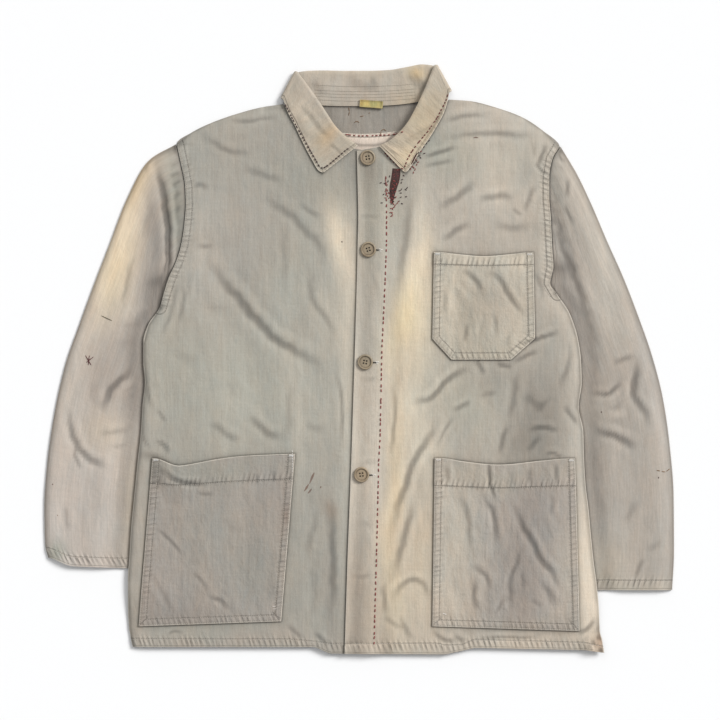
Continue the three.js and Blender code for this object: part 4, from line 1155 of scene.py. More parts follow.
def effect(
    name: str,
    inputs: Sequence[tuple[str, str, object]],
    outputs: Sequence[tuple[str, str]],
    wire: Callable[[Sockets, dict[str, bpy.types.NodeSocket]], dict[str, bpy.types.NodeSocket]],
) -> bpy.types.NodeTree:
    """Build a shader node group once.

    Args:
        name: the group's name.
        inputs: (name, kind of socket, default) of each input.
        outputs: (name, kind of socket) of each output.
        wire: takes the tree and its input sockets, and gives a socket for each output's name.

    Returns:
        The group.
    """
    group = bpy.data.node_groups.new(name, "ShaderNodeTree")
    for label, kind, default in inputs:
        socket = group.interface.new_socket(label, in_out="INPUT", socket_type="NodeSocket" + kind)
        if default is not None:
            socket.default_value = default
    for label, kind in outputs:
        group.interface.new_socket(label, in_out="OUTPUT", socket_type="NodeSocket" + kind)
    tree = Sockets(group)
    start, end = group.nodes.new("NodeGroupInput"), group.nodes.new("NodeGroupOutput")
    given = {label: start.outputs[label] for label, _, _ in inputs}
    for label, socket in wire(tree, given).items():
        tree.link(socket, end.inputs[label])
    return group


def blank(name: str) -> tuple[bpy.types.Material, Sockets, bpy.types.Node]:
    """Start a material.

    Args:
        name: the material's name.

    Returns:
        The material, its tree and its shader.
    """
    made = bpy.data.materials.new(name)
    made.use_nodes = True
    return made, Sockets(made.node_tree), made.node_tree.nodes["Principled BSDF"]


class Effects:
    """The shader effects that several finishes share."""

    def __init__(self) -> None:
        """Build the groups."""
        self.twill = effect(
            "Twill weave",
            [("Place", "Vector", None), ("Threads", "Float", 1400.0)],
            [("Height", "Float"), ("Shade", "Float")],
            self.wire_twill,
        )
        self.washing = effect(
            "Washed streaks",
            [
                ("Colour", "Color", None),
                ("Place", "Vector", None),
                ("Streaks", "Float", 0.06),
                ("Mottle", "Float", 0.05),
            ],
            [("Colour", "Color")],
            self.wire_washing,
        )
        self.crumple = effect(
            "Soft crumple",
            [("Place", "Vector", None), ("Size", "Float", 60.0)],
            [("Height", "Float")],
            self.wire_crumple,
        )
        self.seam = effect(
            "Sewn band",
            [("Seam", "Vector", None), ("Pitch", "Float", 0.0068), ("Pucker", "Float", 1.0)],
            [("Height", "Float"), ("Shade", "Float")],
            self.wire_seam,
        )
        self.edge = effect(
            "Worn edge and shaded lap",
            [("Colour", "Color", None), ("Near", "Vector", None), ("Worn", "Color", None)],
            [("Colour", "Color")],
            self.wire_edge,
        )

    @staticmethod
    def wire_twill(tree: Sockets, given: dict[str, bpy.types.NodeSocket]) -> dict[str, bpy.types.NodeSocket]:
        """Lay diagonal ribs of warp over weft, broken up by uneven yarn.

        Args:
            tree: the group's tree.
            given: the group's inputs by name.

        Returns:
            The group's outputs by name.
        """
        x, y, _ = tree.split(given["Place"])
        uneven = tree.noise(tree.stretch(given["Place"], (1, 0.2, 1)), 900.0, 1.0)
        diagonal = tree.math("MULTIPLY_ADD", y, 0.8, x)
        turns = tree.math("MULTIPLY", given["Threads"], 6.283)
        phase = tree.math("MULTIPLY_ADD", diagonal, turns, tree.math("MULTIPLY", uneven, 3.0))
        height = tree.math("MULTIPLY_ADD", tree.math("SINE", phase), 0.5, 0.5)
        return {"Height": height, "Shade": tree.math("MULTIPLY_ADD", height, 0.05, 0.975)}

    @staticmethod
    def wire_washing(tree: Sockets, given: dict[str, bpy.types.NodeSocket]) -> dict[str, bpy.types.NodeSocket]:
        """Fade the colour in long streaks along the warp, faint ones across, and cloudy patches.

        Args:
            tree: the group's tree.
            given: the group's inputs by name.

        Returns:
            The group's outputs by name.
        """
        place = given["Place"]
        total: object = 1.0
        for scale, size, detail, source, weight in (
            ((1, 0.05, 1), 520.0, 2.0, "Streaks", 4.4),
            ((1, 0.03, 1), 150.0, 2.0, "Streaks", 2.6),
            ((0.06, 1, 1), 430.0, 1.0, "Streaks", 1.3),
            ((1, 0.7, 1), 640.0, 2.0, "Streaks", 2.4),
            ((1, 0.6, 1), 34.0, 4.0, "Mottle", 2.4),
            ((1, 1, 1), 110.0, 3.0, "Mottle", 1.2),
        ):
            value = tree.noise(tree.stretch(place, scale), size, detail, 0.6)
            amount = tree.math("MULTIPLY", given[source], weight)
            total = tree.math("MULTIPLY_ADD", tree.math("SUBTRACT", value, 0.5), amount, total)
        warm = tree.noise(tree.stretch(place, (1, 0.45, 1)), 26.0, 4.0, 0.62)
        fine = tree.noise(tree.stretch(place, (1, 0.3, 1)), 170.0, 2.0, 0.6)
        swing = tree.math("MULTIPLY_ADD", tree.math("SUBTRACT", fine, 0.5), 0.5, tree.math("SUBTRACT", warm, 0.5))
        hue = tree.node("CombineXYZ")
        for axis, amount in (("X", 2.6), ("Y", 0.2), ("Z", -1.6)):
            push = tree.math("MULTIPLY", tree.math("MULTIPLY", swing, given["Mottle"]), amount)
            tree.link(tree.math("ADD", push, 1.0), hue.inputs[axis])
        tinted = tree.node("VectorMath", operation="MULTIPLY")
        tree.link(tree.tint(given["Colour"], total), tinted.inputs[0])
        tree.link(hue.outputs[0], tinted.inputs[1])
        return {"Colour": tinted.outputs[0]}

    @staticmethod
    def wire_crumple(tree: Sockets, given: dict[str, bpy.types.NodeSocket]) -> dict[str, bpy.types.NodeSocket]:
        """Give washed cotton its low uneven surface.

        Args:
            tree: the group's tree.
            given: the group's inputs by name.

        Returns:
            The group's outputs by name.
        """
        place = tree.stretch(given["Place"], (1, 0.55, 1))
        broad = tree.noise(place, given["Size"], 3.0, 0.5)
        fine = tree.noise(given["Place"], tree.math("MULTIPLY", given["Size"], 5.0), 2.0, 0.6)
        return {"Height": tree.math("MULTIPLY_ADD", fine, 0.12, broad)}

    @staticmethod
    def wire_seam(tree: Sockets, given: dict[str, bpy.types.NodeSocket]) -> dict[str, bpy.types.NodeSocket]:
        """Sink two rows of stitching beside an edge and pull the band between them into slanting puckers, with painted
        shade: darker in the rows, lighter and darker over the puckers.

        The seam holds a place's depth in from the edge, its place along it and the band's width.

        Args:
            tree: the group's tree.
            given: the group's inputs by name.

        Returns:
            The group's outputs by name.
        """
        depth, along, width = tree.split(given["Seam"])
        past = tree.math("SUBTRACT", depth, width)
        sewn = tree.math("GREATER_THAN", width, 0.0005)
        line = tree.node("CombineXYZ")
        tree.link(along, line.inputs["X"])
        drift = tree.math("MULTIPLY", tree.noise(line.outputs[0], 55.0, 2.0), 9.0)
        turns = tree.math("DIVIDE", 6.283, given["Pitch"])
        slant = tree.math("MULTIPLY_ADD", depth, 0.3, along)
        phase = tree.math("MULTIPLY_ADD", slant, turns, drift)
        bent = tree.node("CombineXYZ")
        tree.link(slant, bent.inputs["X"])
        rough = tree.math("SUBTRACT", tree.noise(bent.outputs[0], 190.0, 1.0), 0.5)
        strength = tree.spread(tree.noise(line.outputs[0], 34.0, 2.0), 0.3, 0.62, 0.3, 1.0)
        reach = tree.bell(tree.math("ADD", past, 0.0030), 0.0058)
        broad = tree.spread(width, 0.007, 0.011, 0.55, 1.0)
        puckered = tree.math("MULTIPLY", sewn, given["Pucker"])
        window = tree.math("MULTIPLY", tree.math("MULTIPLY", reach, strength), puckered)
        window = tree.math("MULTIPLY", window, broad)
        uneven = tree.math("MULTIPLY_ADD", rough, 4.0, tree.math("MULTIPLY", tree.math("SINE", phase), 0.7))
        wave = tree.math("MULTIPLY", uneven, window)
        inner = tree.math("MULTIPLY", tree.bell(past, 0.0008), sewn)
        outer = tree.math("MULTIPLY", tree.bell(tree.math("SUBTRACT", depth, 0.0018), 0.0006), sewn)
        rows = tree.math("MULTIPLY_ADD", outer, 0.5, inner)
        return {
            "Height": tree.math("MULTIPLY_ADD", rows, -0.9, wave),
            "Shade": tree.math("MULTIPLY_ADD", rows, -0.26, tree.math("MULTIPLY_ADD", wave, 0.10, 1.0)),
        }

    @staticmethod
    def wire_edge(tree: Sockets, given: dict[str, bpy.types.NodeSocket]) -> dict[str, bpy.types.NodeSocket]:
        """Wear a piece's edge light, and shade the cloth beside a piece that laps over it.

        Near holds the distance to the piece's own edge and the distance to the edge that laps over it.

        Args:
            tree: the group's tree.
            given: the group's inputs by name.

        Returns:
            The group's outputs by name.
        """
        own, lap, _ = tree.split(given["Near"])
        wear = tree.spread(own, 0.0003, 0.0017, 0.5, 0.0)
        blend = tree.node("Mix", data_type="RGBA")
        tree.link(wear, blend.inputs["Factor"])
        tree.link(given["Colour"], blend.inputs["A"])
        tree.link(given["Worn"], blend.inputs["B"])
        close = tree.math("MULTIPLY_ADD", tree.bell(lap, 0.0019), -0.42, 1.0)
        around = tree.math("MULTIPLY_ADD", tree.bell(lap, 0.006), -0.12, close)
        return {"Colour": tree.tint(blend.outputs["Result"], around)}


@dataclass(frozen=True)
class ClothFinish:
    """A washed cotton, its colour and the painted shade of its folds held on the mesh, or of one plain colour."""

    name: str
    streaks: float = 0.06
    mottle: float = 0.05
    threads: float = 1400.0
    crumple: float = 0.0022
    creased: float = 55.0
    weave: float = 0.00010
    pucker: float = 1.0
    pitch: float = 0.0068
    roughness: float = 0.92
    sheen: float = 0.10
    plain: Colour | None = None
    worn: Colour = (222, 213, 198)

    def material(self, effects: Effects) -> bpy.types.Material:
        """Build the material.

        Args:
            effects: the shared node groups.

        Returns:
            The material.
        """
        made, tree, shader = blank(self.name)
        place = tree.attribute("grain", "Vector")
        weave, washing, crumple = (tree.group(g) for g in (effects.twill, effects.washing, effects.crumple))
        for group in (weave, washing, crumple):
            tree.link(place, group.inputs["Place"])
        weave.inputs["Threads"].default_value = self.threads
        washing.inputs["Streaks"].default_value = self.streaks
        washing.inputs["Mottle"].default_value = self.mottle
        crumple.inputs["Size"].default_value = self.creased
        if self.plain is None:
            tree.link(tree.attribute("dye", "Color"), washing.inputs["Colour"])
        else:
            washing.inputs["Colour"].default_value = (*DyeAndShade.linear(self.plain), 1.0)
        edge = tree.group(effects.edge)
        tree.link(washing.outputs["Colour"], edge.inputs["Colour"])
        tree.link(tree.attribute("near", "Vector"), edge.inputs["Near"])
        edge.inputs["Worn"].default_value = (*DyeAndShade.linear(self.worn), 1.0)
        seams = [tree.group(effects.seam), tree.group(effects.seam)]
        for seam, name in zip(seams, ("seam", "second_seam")):
            tree.link(tree.attribute(name, "Vector"), seam.inputs["Seam"])
            seam.inputs["Pitch"].default_value = self.pitch
            seam.inputs["Pucker"].default_value = self.pucker
        # Painted shade from the seams, darker in the stitch rows and in the puckers' troughs and lighter on their
        # ridges, times the twill's Shade.
        shade = tree.math("MULTIPLY", seams[0].outputs["Shade"], seams[1].outputs["Shade"])
        shade = tree.math("MULTIPLY", shade, weave.outputs["Shade"])
        tree.link(tree.tint(edge.outputs["Colour"], shade), shader.inputs["Base Color"])
        sewn = tree.math("ADD", seams[0].outputs["Height"], seams[1].outputs["Height"])
        normal: bpy.types.NodeSocket | None = None
        for height, distance, strength in (
            (sewn, 0.00075, 1.0),
            (crumple.outputs["Height"], self.crumple, 0.6),
            (weave.outputs["Height"], self.weave, 0.5),
        ):
            bump = tree.node("Bump")
            bump.inputs["Strength"].default_value = strength
            bump.inputs["Distance"].default_value = distance
            tree.link(height, bump.inputs["Height"])
            if normal:
                tree.link(normal, bump.inputs["Normal"])
            normal = bump.outputs["Normal"]
        tree.link(normal, shader.inputs["Normal"])
        shader.inputs["Roughness"].default_value = self.roughness
        shader.inputs["Sheen Weight"].default_value = self.sheen
        shader.inputs["Sheen Roughness"].default_value = 0.6
        shader.inputs["Specular IOR Level"].default_value = 0.25
        return made


class Cloth(Enum):
    """The cloths."""

    TWILL = ClothFinish("washed twill", streaks=0.065, mottle=0.065, crumple=0.0034, creased=46.0)
    POCKET = ClothFinish("crumpled twill", streaks=0.07, mottle=0.085, crumple=0.0046, creased=62.0)
    COLLAR = ClothFinish("worn collar twill", streaks=0.055, mottle=0.085, pucker=0.6, crumple=0.0050, creased=48.0)
    CREAM = ClothFinish("cream patch cotton", streaks=0.03, plain=(228, 212, 196))
    LABEL = ClothFinish("label tape", streaks=0.16, mottle=0.4, threads=900.0, worn=(214, 198, 140))
    # The dark mending cloth is also laid as painted shade in the tear and in the two pinholes.
    MEND = ClothFinish("dark mending cloth", streaks=0.3, mottle=0.3, plain=(70, 48, 45), worn=(70, 48, 45))
    STAIN = ClothFinish("old stain", streaks=0.1, mottle=0.3, plain=(124, 104, 92), worn=(124, 104, 92))


class Thread(Enum):
    """The threads, by their colours."""

    PALE = (204, 195, 182)
    WHITE = (240, 236, 230)
    GREY = (140, 131, 119)
    DARK = (70, 52, 54)
    # BLACK also stands as painted shade in the buttons' holes and in the buttonholes' openings.
    BLACK = (44, 40, 36)
    RED = (134, 62, 60)
    CLARET = (112, 50, 50)
    MAROON = (92, 44, 46)
    BROWN = (126, 94, 60)
    OLIVE = (110, 104, 84)


@dataclass(frozen=True)
class ThreadFinish:
    """Sewing thread of one colour, with a little unevenness."""

    name: str
    colour: Colour

    def material(self, effects: Effects) -> bpy.types.Material:
        """Build the material.

        Args:
            effects: the shared node groups.

        Returns:
            The material.
        """
        made, tree, shader = blank(self.name)
        washing = tree.node("Group", node_tree=effects.washing)
        tree.link(tree.node("TexCoord").outputs["Object"], washing.inputs["Place"])
        washing.inputs["Colour"].default_value = (*DyeAndShade.linear(self.colour), 1.0)
        washing.inputs["Mottle"].default_value = 0.1
        tree.link(washing.outputs["Colour"], shader.inputs["Base Color"])
        shader.inputs["Roughness"].default_value = 0.75
        return made


@dataclass(frozen=True)
class ButtonFinish:
    """Dull moulded plastic, browner and darker in its recesses, with painted shade in its holes and under its edge."""

    name: str
    colour: Colour
    deep: Colour

    def material(self, effects: Effects) -> bpy.types.Material:
        """Build the material.

        Args:
            effects: the shared node groups.

        Returns:
            The material.
        """
        made, tree, shader = blank(self.name)
        place = tree.node("TexCoord").outputs["Object"]
        washing = tree.node("Group", node_tree=effects.washing)
        tree.link(place, washing.inputs["Place"])
        washing.inputs["Mottle"].default_value = 0.12
        blend = tree.node("Mix", data_type="RGBA")
        swirl = tree.noise(tree.stretch(place, (1, 0.3, 1)), 260.0, 3.0)
        # Darker in the button's marked places: the groove inside the rim, and painted shade in the holes and under the
        # edge.
        darkening = tree.math("ADD", tree.spread(swirl, 0.4, 0.75, 0.0, 0.4), tree.attribute("darkened", "Fac"))
        tree.link(tree.math("MINIMUM", darkening, 1.0), blend.inputs["Factor"])
        blend.inputs["A"].default_value = (*DyeAndShade.linear(self.colour), 1.0)
        blend.inputs["B"].default_value = (*DyeAndShade.linear(self.deep), 1.0)
        tree.link(blend.outputs["Result"], washing.inputs["Colour"])
        tree.link(washing.outputs["Colour"], shader.inputs["Base Color"])
        tree.link(tree.spread(swirl, 0.3, 0.8, 0.38, 0.6), shader.inputs["Roughness"])
        return made


class Finishes:
    """Every material, built once."""

    def __init__(self) -> None:
        """Build them."""
        effects = Effects()
        self.cloths = {cloth: cloth.value.material(effects) for cloth in Cloth}
        self.button = ButtonFinish("button", (158, 142, 118), (96, 82, 64)).material(effects)
        self.threads = {
            thread: ThreadFinish(thread.name.lower().replace("_", " ") + " thread", thread.value).material(effects)
            for thread in Thread
        }


@dataclass
class Panel:
    """A cloth piece that stands for one of the solids."""

    shop: Workshop
    finishes: Finishes
    node: str = ""
    slot: str = "twill"
    cloth: Cloth = Cloth.TWILL

    def own(self, obj: bpy.types.Object) -> bpy.types.Object:
        """Let a piece stand for the panel's solid.

        Args:
            obj: the piece.

        Returns:
            The same piece.
        """
        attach(obj, "root")
        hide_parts(self.node)
        return obj

    @staticmethod
    def triple(a: Array, b: Array | float = 0.0, c: Array | float = 0.0) -> Array:
        """Put three values for each place of a grid side by side."""
        return np.stack(np.broadcast_arrays(a, b, c), -1).astype(float)

    def lay(self, under: Array, top: Array, x: Array, y: Array, fields: dict[str, Array]) -> bpy.types.Object:
        """Close a flat panel between its underside and its top, with rounded edges.

        Args:
            under: height of its underside.
            top: height of its upper face.
            x: places.
            y: places.
            fields: the seam, second_seam and near fields that it has.

        Returns:
            The object, with its colour and painted shade, and its grain.
        """
        middle, thick = (under + top) / 2, (top - under) * rim(x.shape)
        lower, upper = (self.triple(x, y, middle + sign * thick / 2) for sign in (-1, 1))
        painted = {"dye": DyeAndShade.at(self.node, x, y, under), "grain": self.triple(x, y), **fields}
        return self.own(self.shop.shell(self.node + "_cloth", lower, upper, self.finishes.cloths[self.cloth], painted))


@dataclass
class Back(Panel):
    """The back panel. Its inside face shows through the neck opening."""

    node: str = "back"
    pitch: float = 4.4

    def build(self) -> bpy.types.Object:
        """Build the panel.

        Returns:
            The object.
        """
        fine = np.linspace(0, TIP_ROW, 26)
        at = np.concatenate([fine, TIP_ROW + edged(650, self.pitch)[3:] * (len(RIGHT_HALF) - 1 - TIP_ROW)])
        right = curve(HALVES[Side.RIGHT].edge, at)
        left = curve(HALVES[Side.LEFT].edge, at)
        share = edged(600, self.pitch)
        neck = np.linspace(0.38, 0.66, 110)
        share = np.sort(np.concatenate([share[(share < 0.378) | (share > 0.662)], neck]))[None, :]
        x = mix(right[:, :1], left[:, :1], share)
        y = mix(right[:, 1:], left[:, 1:], share)
        y = mix(y, line_at(BACK_NECK, x), smooth(1 - at / 1.2)[:, None])
        hem = line_at(HEM, x)
        y = np.where(at[:, None] > 29, mix(hem, hem + HEM_DEPTH, 30 - at[:, None]), y)
        low = Lay.back_lift(x, y)
        top = low + CLOTH + np.maximum(-0.2, fold_height(BACK_FOLDS, x, y)) * smooth((335 - y) / 6)
        piece = self.lay(low, top, x, y, {"near": self.triple(FAR, line_at(BACK_NECK, x) - y)})
        return piece


@dataclass
class Front(Panel):
    """A front panel, from its shoulder and side to its centre edge."""

    side: Side = Side.RIGHT
    pockets: tuple["PocketPlan", ...] = ()
    pitch: float = 2.6

    def plan(self) -> tuple[Array, Array]:
        """Give the plan places of the panel's grid.

        Returns:
            x and y of the panel's grid.
        """
        half = HALVES[self.side]
        lap = OVERLAP if self.side is Side.RIGHT else 0.0
        rows = []
        for row in half.rows:
            closure = line_at(PLACKET, row.centre_y, down=True) + lap
            rows.append((row.side_x, row.side_y, closure if row.neck_x is None else row.neck_x, row.centre_y))
        last = len(rows) - 1
        at = np.concatenate([np.linspace(0, TIP_ROW, 34), TIP_ROW + edged(650, self.pitch)[3:] * (last - TIP_ROW)])
        sections = np.where(at[:, None] <= TIP_ROW, curve(rows[: TIP_ROW + 1], at), curve(rows[TIP_ROW:], at - TIP_ROW))
        share = edged(300, self.pitch)[None, :]
        x = mix(sections[:, :1], sections[:, 2:3], share)
        y = mix(sections[:, 1:2], sections[:, 3:], share)
        left_over = (last - at)[:, None]
        at_hem = line_at(HEM, x) + left_over * HEM_DEPTH
        return x, np.where(left_over < 2, mix(at_hem, y, smooth(left_over - 1)), y)

    def build(self) -> bpy.types.Object:
        """Build the panel.

        Returns:
            The object.
        """
        x, y = self.plan()
        curl = self.curled_corner(x, y) if self.side is Side.LEFT else 0.0
        under, top = Lay.front_under(self.side, x, y) + curl, Lay.front_top(self.side, x, y) + curl
        piece = self.lay(under, top, x, y, self.fields(x, y))
        return piece

    def fields(self, x: Array, y: Array) -> dict[str, Array]:
        """Measure from the hem, the armhole, the worn edges and whatever laps over the panel.

        Args:
            x: places.
            y: places.

        Returns:
            The fields by name.
        """
        half = HALVES[self.side]
        up, band = y - line_at(HEM, x), line_at(HEM_BAND, x)
        from_seam, along = to_line(x, y, half.armhole)
        placket = line_at(PLACKET, y, down=True)
        own = to_line(x, y, half.folded[1])[0]
        lap = np.full(x.shape, FAR)
        for pocket in self.pockets:
            inside, distance = pocket.outside(x, y)
            lap = np.minimum(lap, np.where(inside, 0.0, distance))
        leaf = self.side.value
        collar = [row[4:6] for row in COLLAR if row.side > 0.9 and row.edge_x * leaf > 0]
        ends = [COLLAR[0][0:2]] if self.side is Side.RIGHT else [COLLAR[-1][0:2]]
        line = ends + collar if self.side is Side.RIGHT else collar + ends
        lap = np.minimum(lap, to_line(x, y, line)[0])
        if self.side is Side.RIGHT:
            lap = np.minimum(lap, np.abs(placket - x) * 0.8)
        else:
            own = np.minimum(own, x - placket)
        return {
            "seam": self.triple(up, x, band),
            "second_seam": self.triple(from_seam, along, np.where(from_seam < 30, 8.5, 0)),
            "near": self.triple(own, lap),
        }

    @staticmethod
    def curled_corner(x: Array, y: Array) -> Array:
        """Lift and crumple the hem's corner at the side seam.

        Args:
            x: places.
            y: places.

        Returns:
            The extra height at each place.
        """
        reach = smooth(1 - np.hypot(x - 316, (y + 380) * 0.9) / 30)
        crumple = np.sin((x * 0.9 - y) / 3.1) + 0.6 * np.sin((x + y) / 2.3 + 1)
        return reach * (4.6 + 1.3 * crumple)


@dataclass
class Sleeve(Panel):
    """A sleeve: a flattened tube from the armhole to the cuff."""

    side: Side = Side.RIGHT
    pitch: float = 2.8

    def build(self) -> bpy.types.Object:
        """Build the tube.

        Returns:
            The object.
        """
        half = HALVES[self.side]
        at = np.concatenate([np.linspace(0, 10, round(480 / self.pitch)), 10 + edged(60, self.pitch)[3:]])
        section = curve(half.sleeve, at)
        width = np.hypot(section[:, 0] - section[:, 2], section[:, 1] - section[:, 3])
        mean = float(width.mean())
        near = np.array([0, 0.15, 0.5, 1.1, 2.2, 4.0]) / mean
        middle = np.linspace(0, 1, round(mean / self.pitch))
        middle = middle[(middle > 5 / mean) & (middle < 1 - 5 / mean)]
        share = np.concatenate([near, middle, 1 - near[::-1]])
        x, y, z = self.face(half, section, width, np.broadcast_to(share, (len(at), len(share))))
        inset = CLOTH / width[:, None]
        xi, yi, zi = self.face(half, section, width, mix(inset, 1 - inset, share[None, :]))
        dye = DyeAndShade.at(self.node, x, y, z)
        z = z + self.details(half, x, y)
        from_edge = np.minimum(share, 1 - share)[None, :] * width[:, None]
        fold = 1.4
        profile = np.sqrt(1 - (1 - np.clip(from_edge / fold, 0, 1)) ** 2)
        above = self.triple(x, y, fold + (z - fold) * profile)
        outer = np.concatenate([above, self.triple(x, y, fold - fold * profile)[:, ::-1]], 1)
        inner_top = self.triple(xi, yi, np.maximum(zi - CLOTH, CLOTH + 0.15))
        inner = np.concatenate([inner_top, self.triple(xi, yi, CLOTH)[:, ::-1]], 1)
        run = np.hypot(*np.diff((section[:, :2] + section[:, 2:4]) / 2, axis=0).T)
        along = np.concatenate([[0], np.cumsum(run)])[:, None]
        across = share[None, :] * width[:, None]
        fields = self.fields(half, x, y, across)
        fields |= {"dye": dye, "grain": self.triple(across, -along)}
        ring = {label: np.concatenate([values, values[:, ::-1]], axis=1) for label, values in fields.items()}
        piece = self.own(self.tube(outer, inner, ring))
        return piece

    @staticmethod
    def face(half: Half, section: Array, width: Array, share: Array) -> tuple[Array, Array, Array]:
        """Place the sleeve's upper face.

        Args:
            half: the half of the body that the sleeve belongs to.
            section: the sections, a row each.
            width: the width of each section.
            share: places from the outer fold to the hidden one, for each section.

        Returns:
            x, y and z of the face.
        """
        armhole = half.armhole
        last = len(armhole) - 1
        on_seam = curve(armhole, (share * last).ravel()).reshape(*share.shape, 2)
        bow = on_seam - mix(armhole[0], armhole[-1], share[..., None])
        shape, dip = section[:, 4:5], section[:, 5:6]
        x = mix(section[:, 0:1], section[:, 2:3], share) + bow[..., 0] * shape + 3 * SEAM * half.side.value
        turn = smooth(share / 0.22) * (1 - share) * 1.1
        y = mix(section[:, 1:2], section[:, 3:4], share) + bow[..., 1] * shape - dip * turn
        from_edge = np.minimum(share, 1 - share) * width[:, None]
        from_edge[0] += EDGE_ROLL * 0.5
        return x, y, Lay.sleeve_top(half, x, y, from_edge)

    @staticmethod
    def cuff(x: Array, y: Array) -> Array:
        """Measure up from the cuff's edge."""
        order = np.argsort(x[-1])
        return y - np.interp(x, x[-1][order], y[-1][order])

    @classmethod
    def details(cls, half: Half, x: Array, y: Array) -> Array:
        """Add the cuff's turned hem and the gathers beside the armhole.

        Args:
            half: the half of the body that the sleeve belongs to.
            x: places.
            y: places.

        Returns:
            The extra height at each place.
        """
        hem = 0.5 * smooth((HEM_DEPTH - cls.cuff(x, y)) / 1.6)
        seam, along = to_line(x, y, half.armhole)
        gathered = np.exp(-((seam / 15) ** 2)) * np.sin(along / 1.9 + 1.6 * np.sin(along / 11))
        span = smooth((half.edge[TIP_ROW, 1] - y) / 8) * smooth((y - half.edge[UNDERARM_ROW, 1] - 30) / 60)
        return hem + 0.4 * gathered * span

    @classmethod
    def fields(cls, half: Half, x: Array, y: Array, across: Array) -> dict[str, Array]:
        """Measure from the cuff and from the body's edge.

        Args:
            half: the half of the body that the sleeve belongs to.
            x: places.
            y: places.
            across: distance from the outer fold.

        Returns:
            The fields by name.
        """
        lap, _ = to_line(x, y, half.edge[TIP_ROW:])
        beside = (x - line_at(half.edge, y, down=True)) * half.side.value
        lap = np.where(beside > 0, lap, 0.0)
        return {"seam": cls.triple(cls.cuff(x, y), across, 12.5), "near": cls.triple(FAR, lap)}

    def tube(self, outer: Array, inner: Array, fields: dict[str, Array]) -> bpy.types.Object:
        """Close a tube wall between outer and inner rings, open at both ends.

        Args:
            outer: points of the outer rings.
            inner: points of the inner rings.
            fields: values for each outer point by name.

        Returns:
            The object.
        """
        rows, ring = outer.shape[:2]
        index = np.arange(rows * ring).reshape(rows, ring)
        size = rows * ring
        after = np.roll(index, -1, 1)
        walls = np.stack([index[:-1], after[:-1], after[1:], index[1:]], -1).reshape(-1, 4)
        faces = [walls, walls[:, ::-1] + size]
        for row, turned in ((0, False), (-1, True)):
            band = np.stack([index[row], index[row] + size, after[row] + size, after[row]], -1)
            faces.append(band[:, ::-1] if turned else band)
        points = np.concatenate([outer.reshape(-1, 3), inner.reshape(-1, 3)])
        quads = self.shop.facing_out(points, np.concatenate(faces))
        both = {label: np.concatenate([values.reshape(-1, 3)] * 2) for label, values in fields.items()}
        return self.shop.mesh(self.node + "_cloth", points, quads, self.finishes.cloths[self.cloth], both)


@dataclass(frozen=True)
class PocketPlan:
    """The lines of a patch pocket: (outer x, outer y, inner x, inner y) rows from its mouth down."""

    node: str
    side: Side
    outline: tuple[tuple[float, float, float, float], ...]
    sag: float
    gape: float
    gape_at: float
    band: float

    @property
    def sewn(self) -> Array:
        """The sewn sides and bottom, from one end of the mouth to the other."""
        rows = np.asarray(self.outline, float)
        return np.concatenate([rows[:, :2], rows[::-1, 2:4]])

    def dip(self, share: Array) -> Array:
        """Tell how far the mouth sags at a share of the way across."""
        ends = smooth(share * 5) * smooth((1 - share) * 5)
        return self.sag * np.exp(-(((share - self.gape_at) / 0.3) ** 2)) * ends

    def mouth_y(self, x: Array, sagging: float = 1.0) -> Array:
        """Give the mouth's y at x.

        Args:
            x: places.
            sagging: how far the mouth sags, from 0 to 1.

        Returns:
            The mouth's y at each place.
        """
        x0, y0, x1, y1 = self.outline[0]
        share = (x - x0) / (x1 - x0)
        return y0 + (y1 - y0) * share - sagging * self.dip(np.clip(share, 0, 1))

    def outside(self, x: Array, y: Array) -> tuple[Array, Array]:
        """Tell which places are under the pocket, and how far each place is from its outline.

        Args:
            x: places.
            y: places.

        Returns:
            Which places are under it, and their distances.
        """
        loop = np.concatenate([self.sewn, self.sewn[:1]])
        inside = np.zeros(x.shape, bool)
        for (ax, ay), (bx, by) in zip(loop[:-1], loop[1:]):
            if ay != by:
                crosses = ((ay > y) != (by > y)) & (x < (bx - ax) * (y - ay) / (by - ay) + ax)
                inside ^= crosses
        mouth = np.abs(self.mouth_y(x) - y)
        over = (x - self.outline[0][0]) * (x - self.outline[0][2]) < 0
        distance = np.minimum(to_line(x, y, self.sewn)[0], np.where(over, mouth, FAR))
        return inside & (y < self.mouth_y(x)), distance


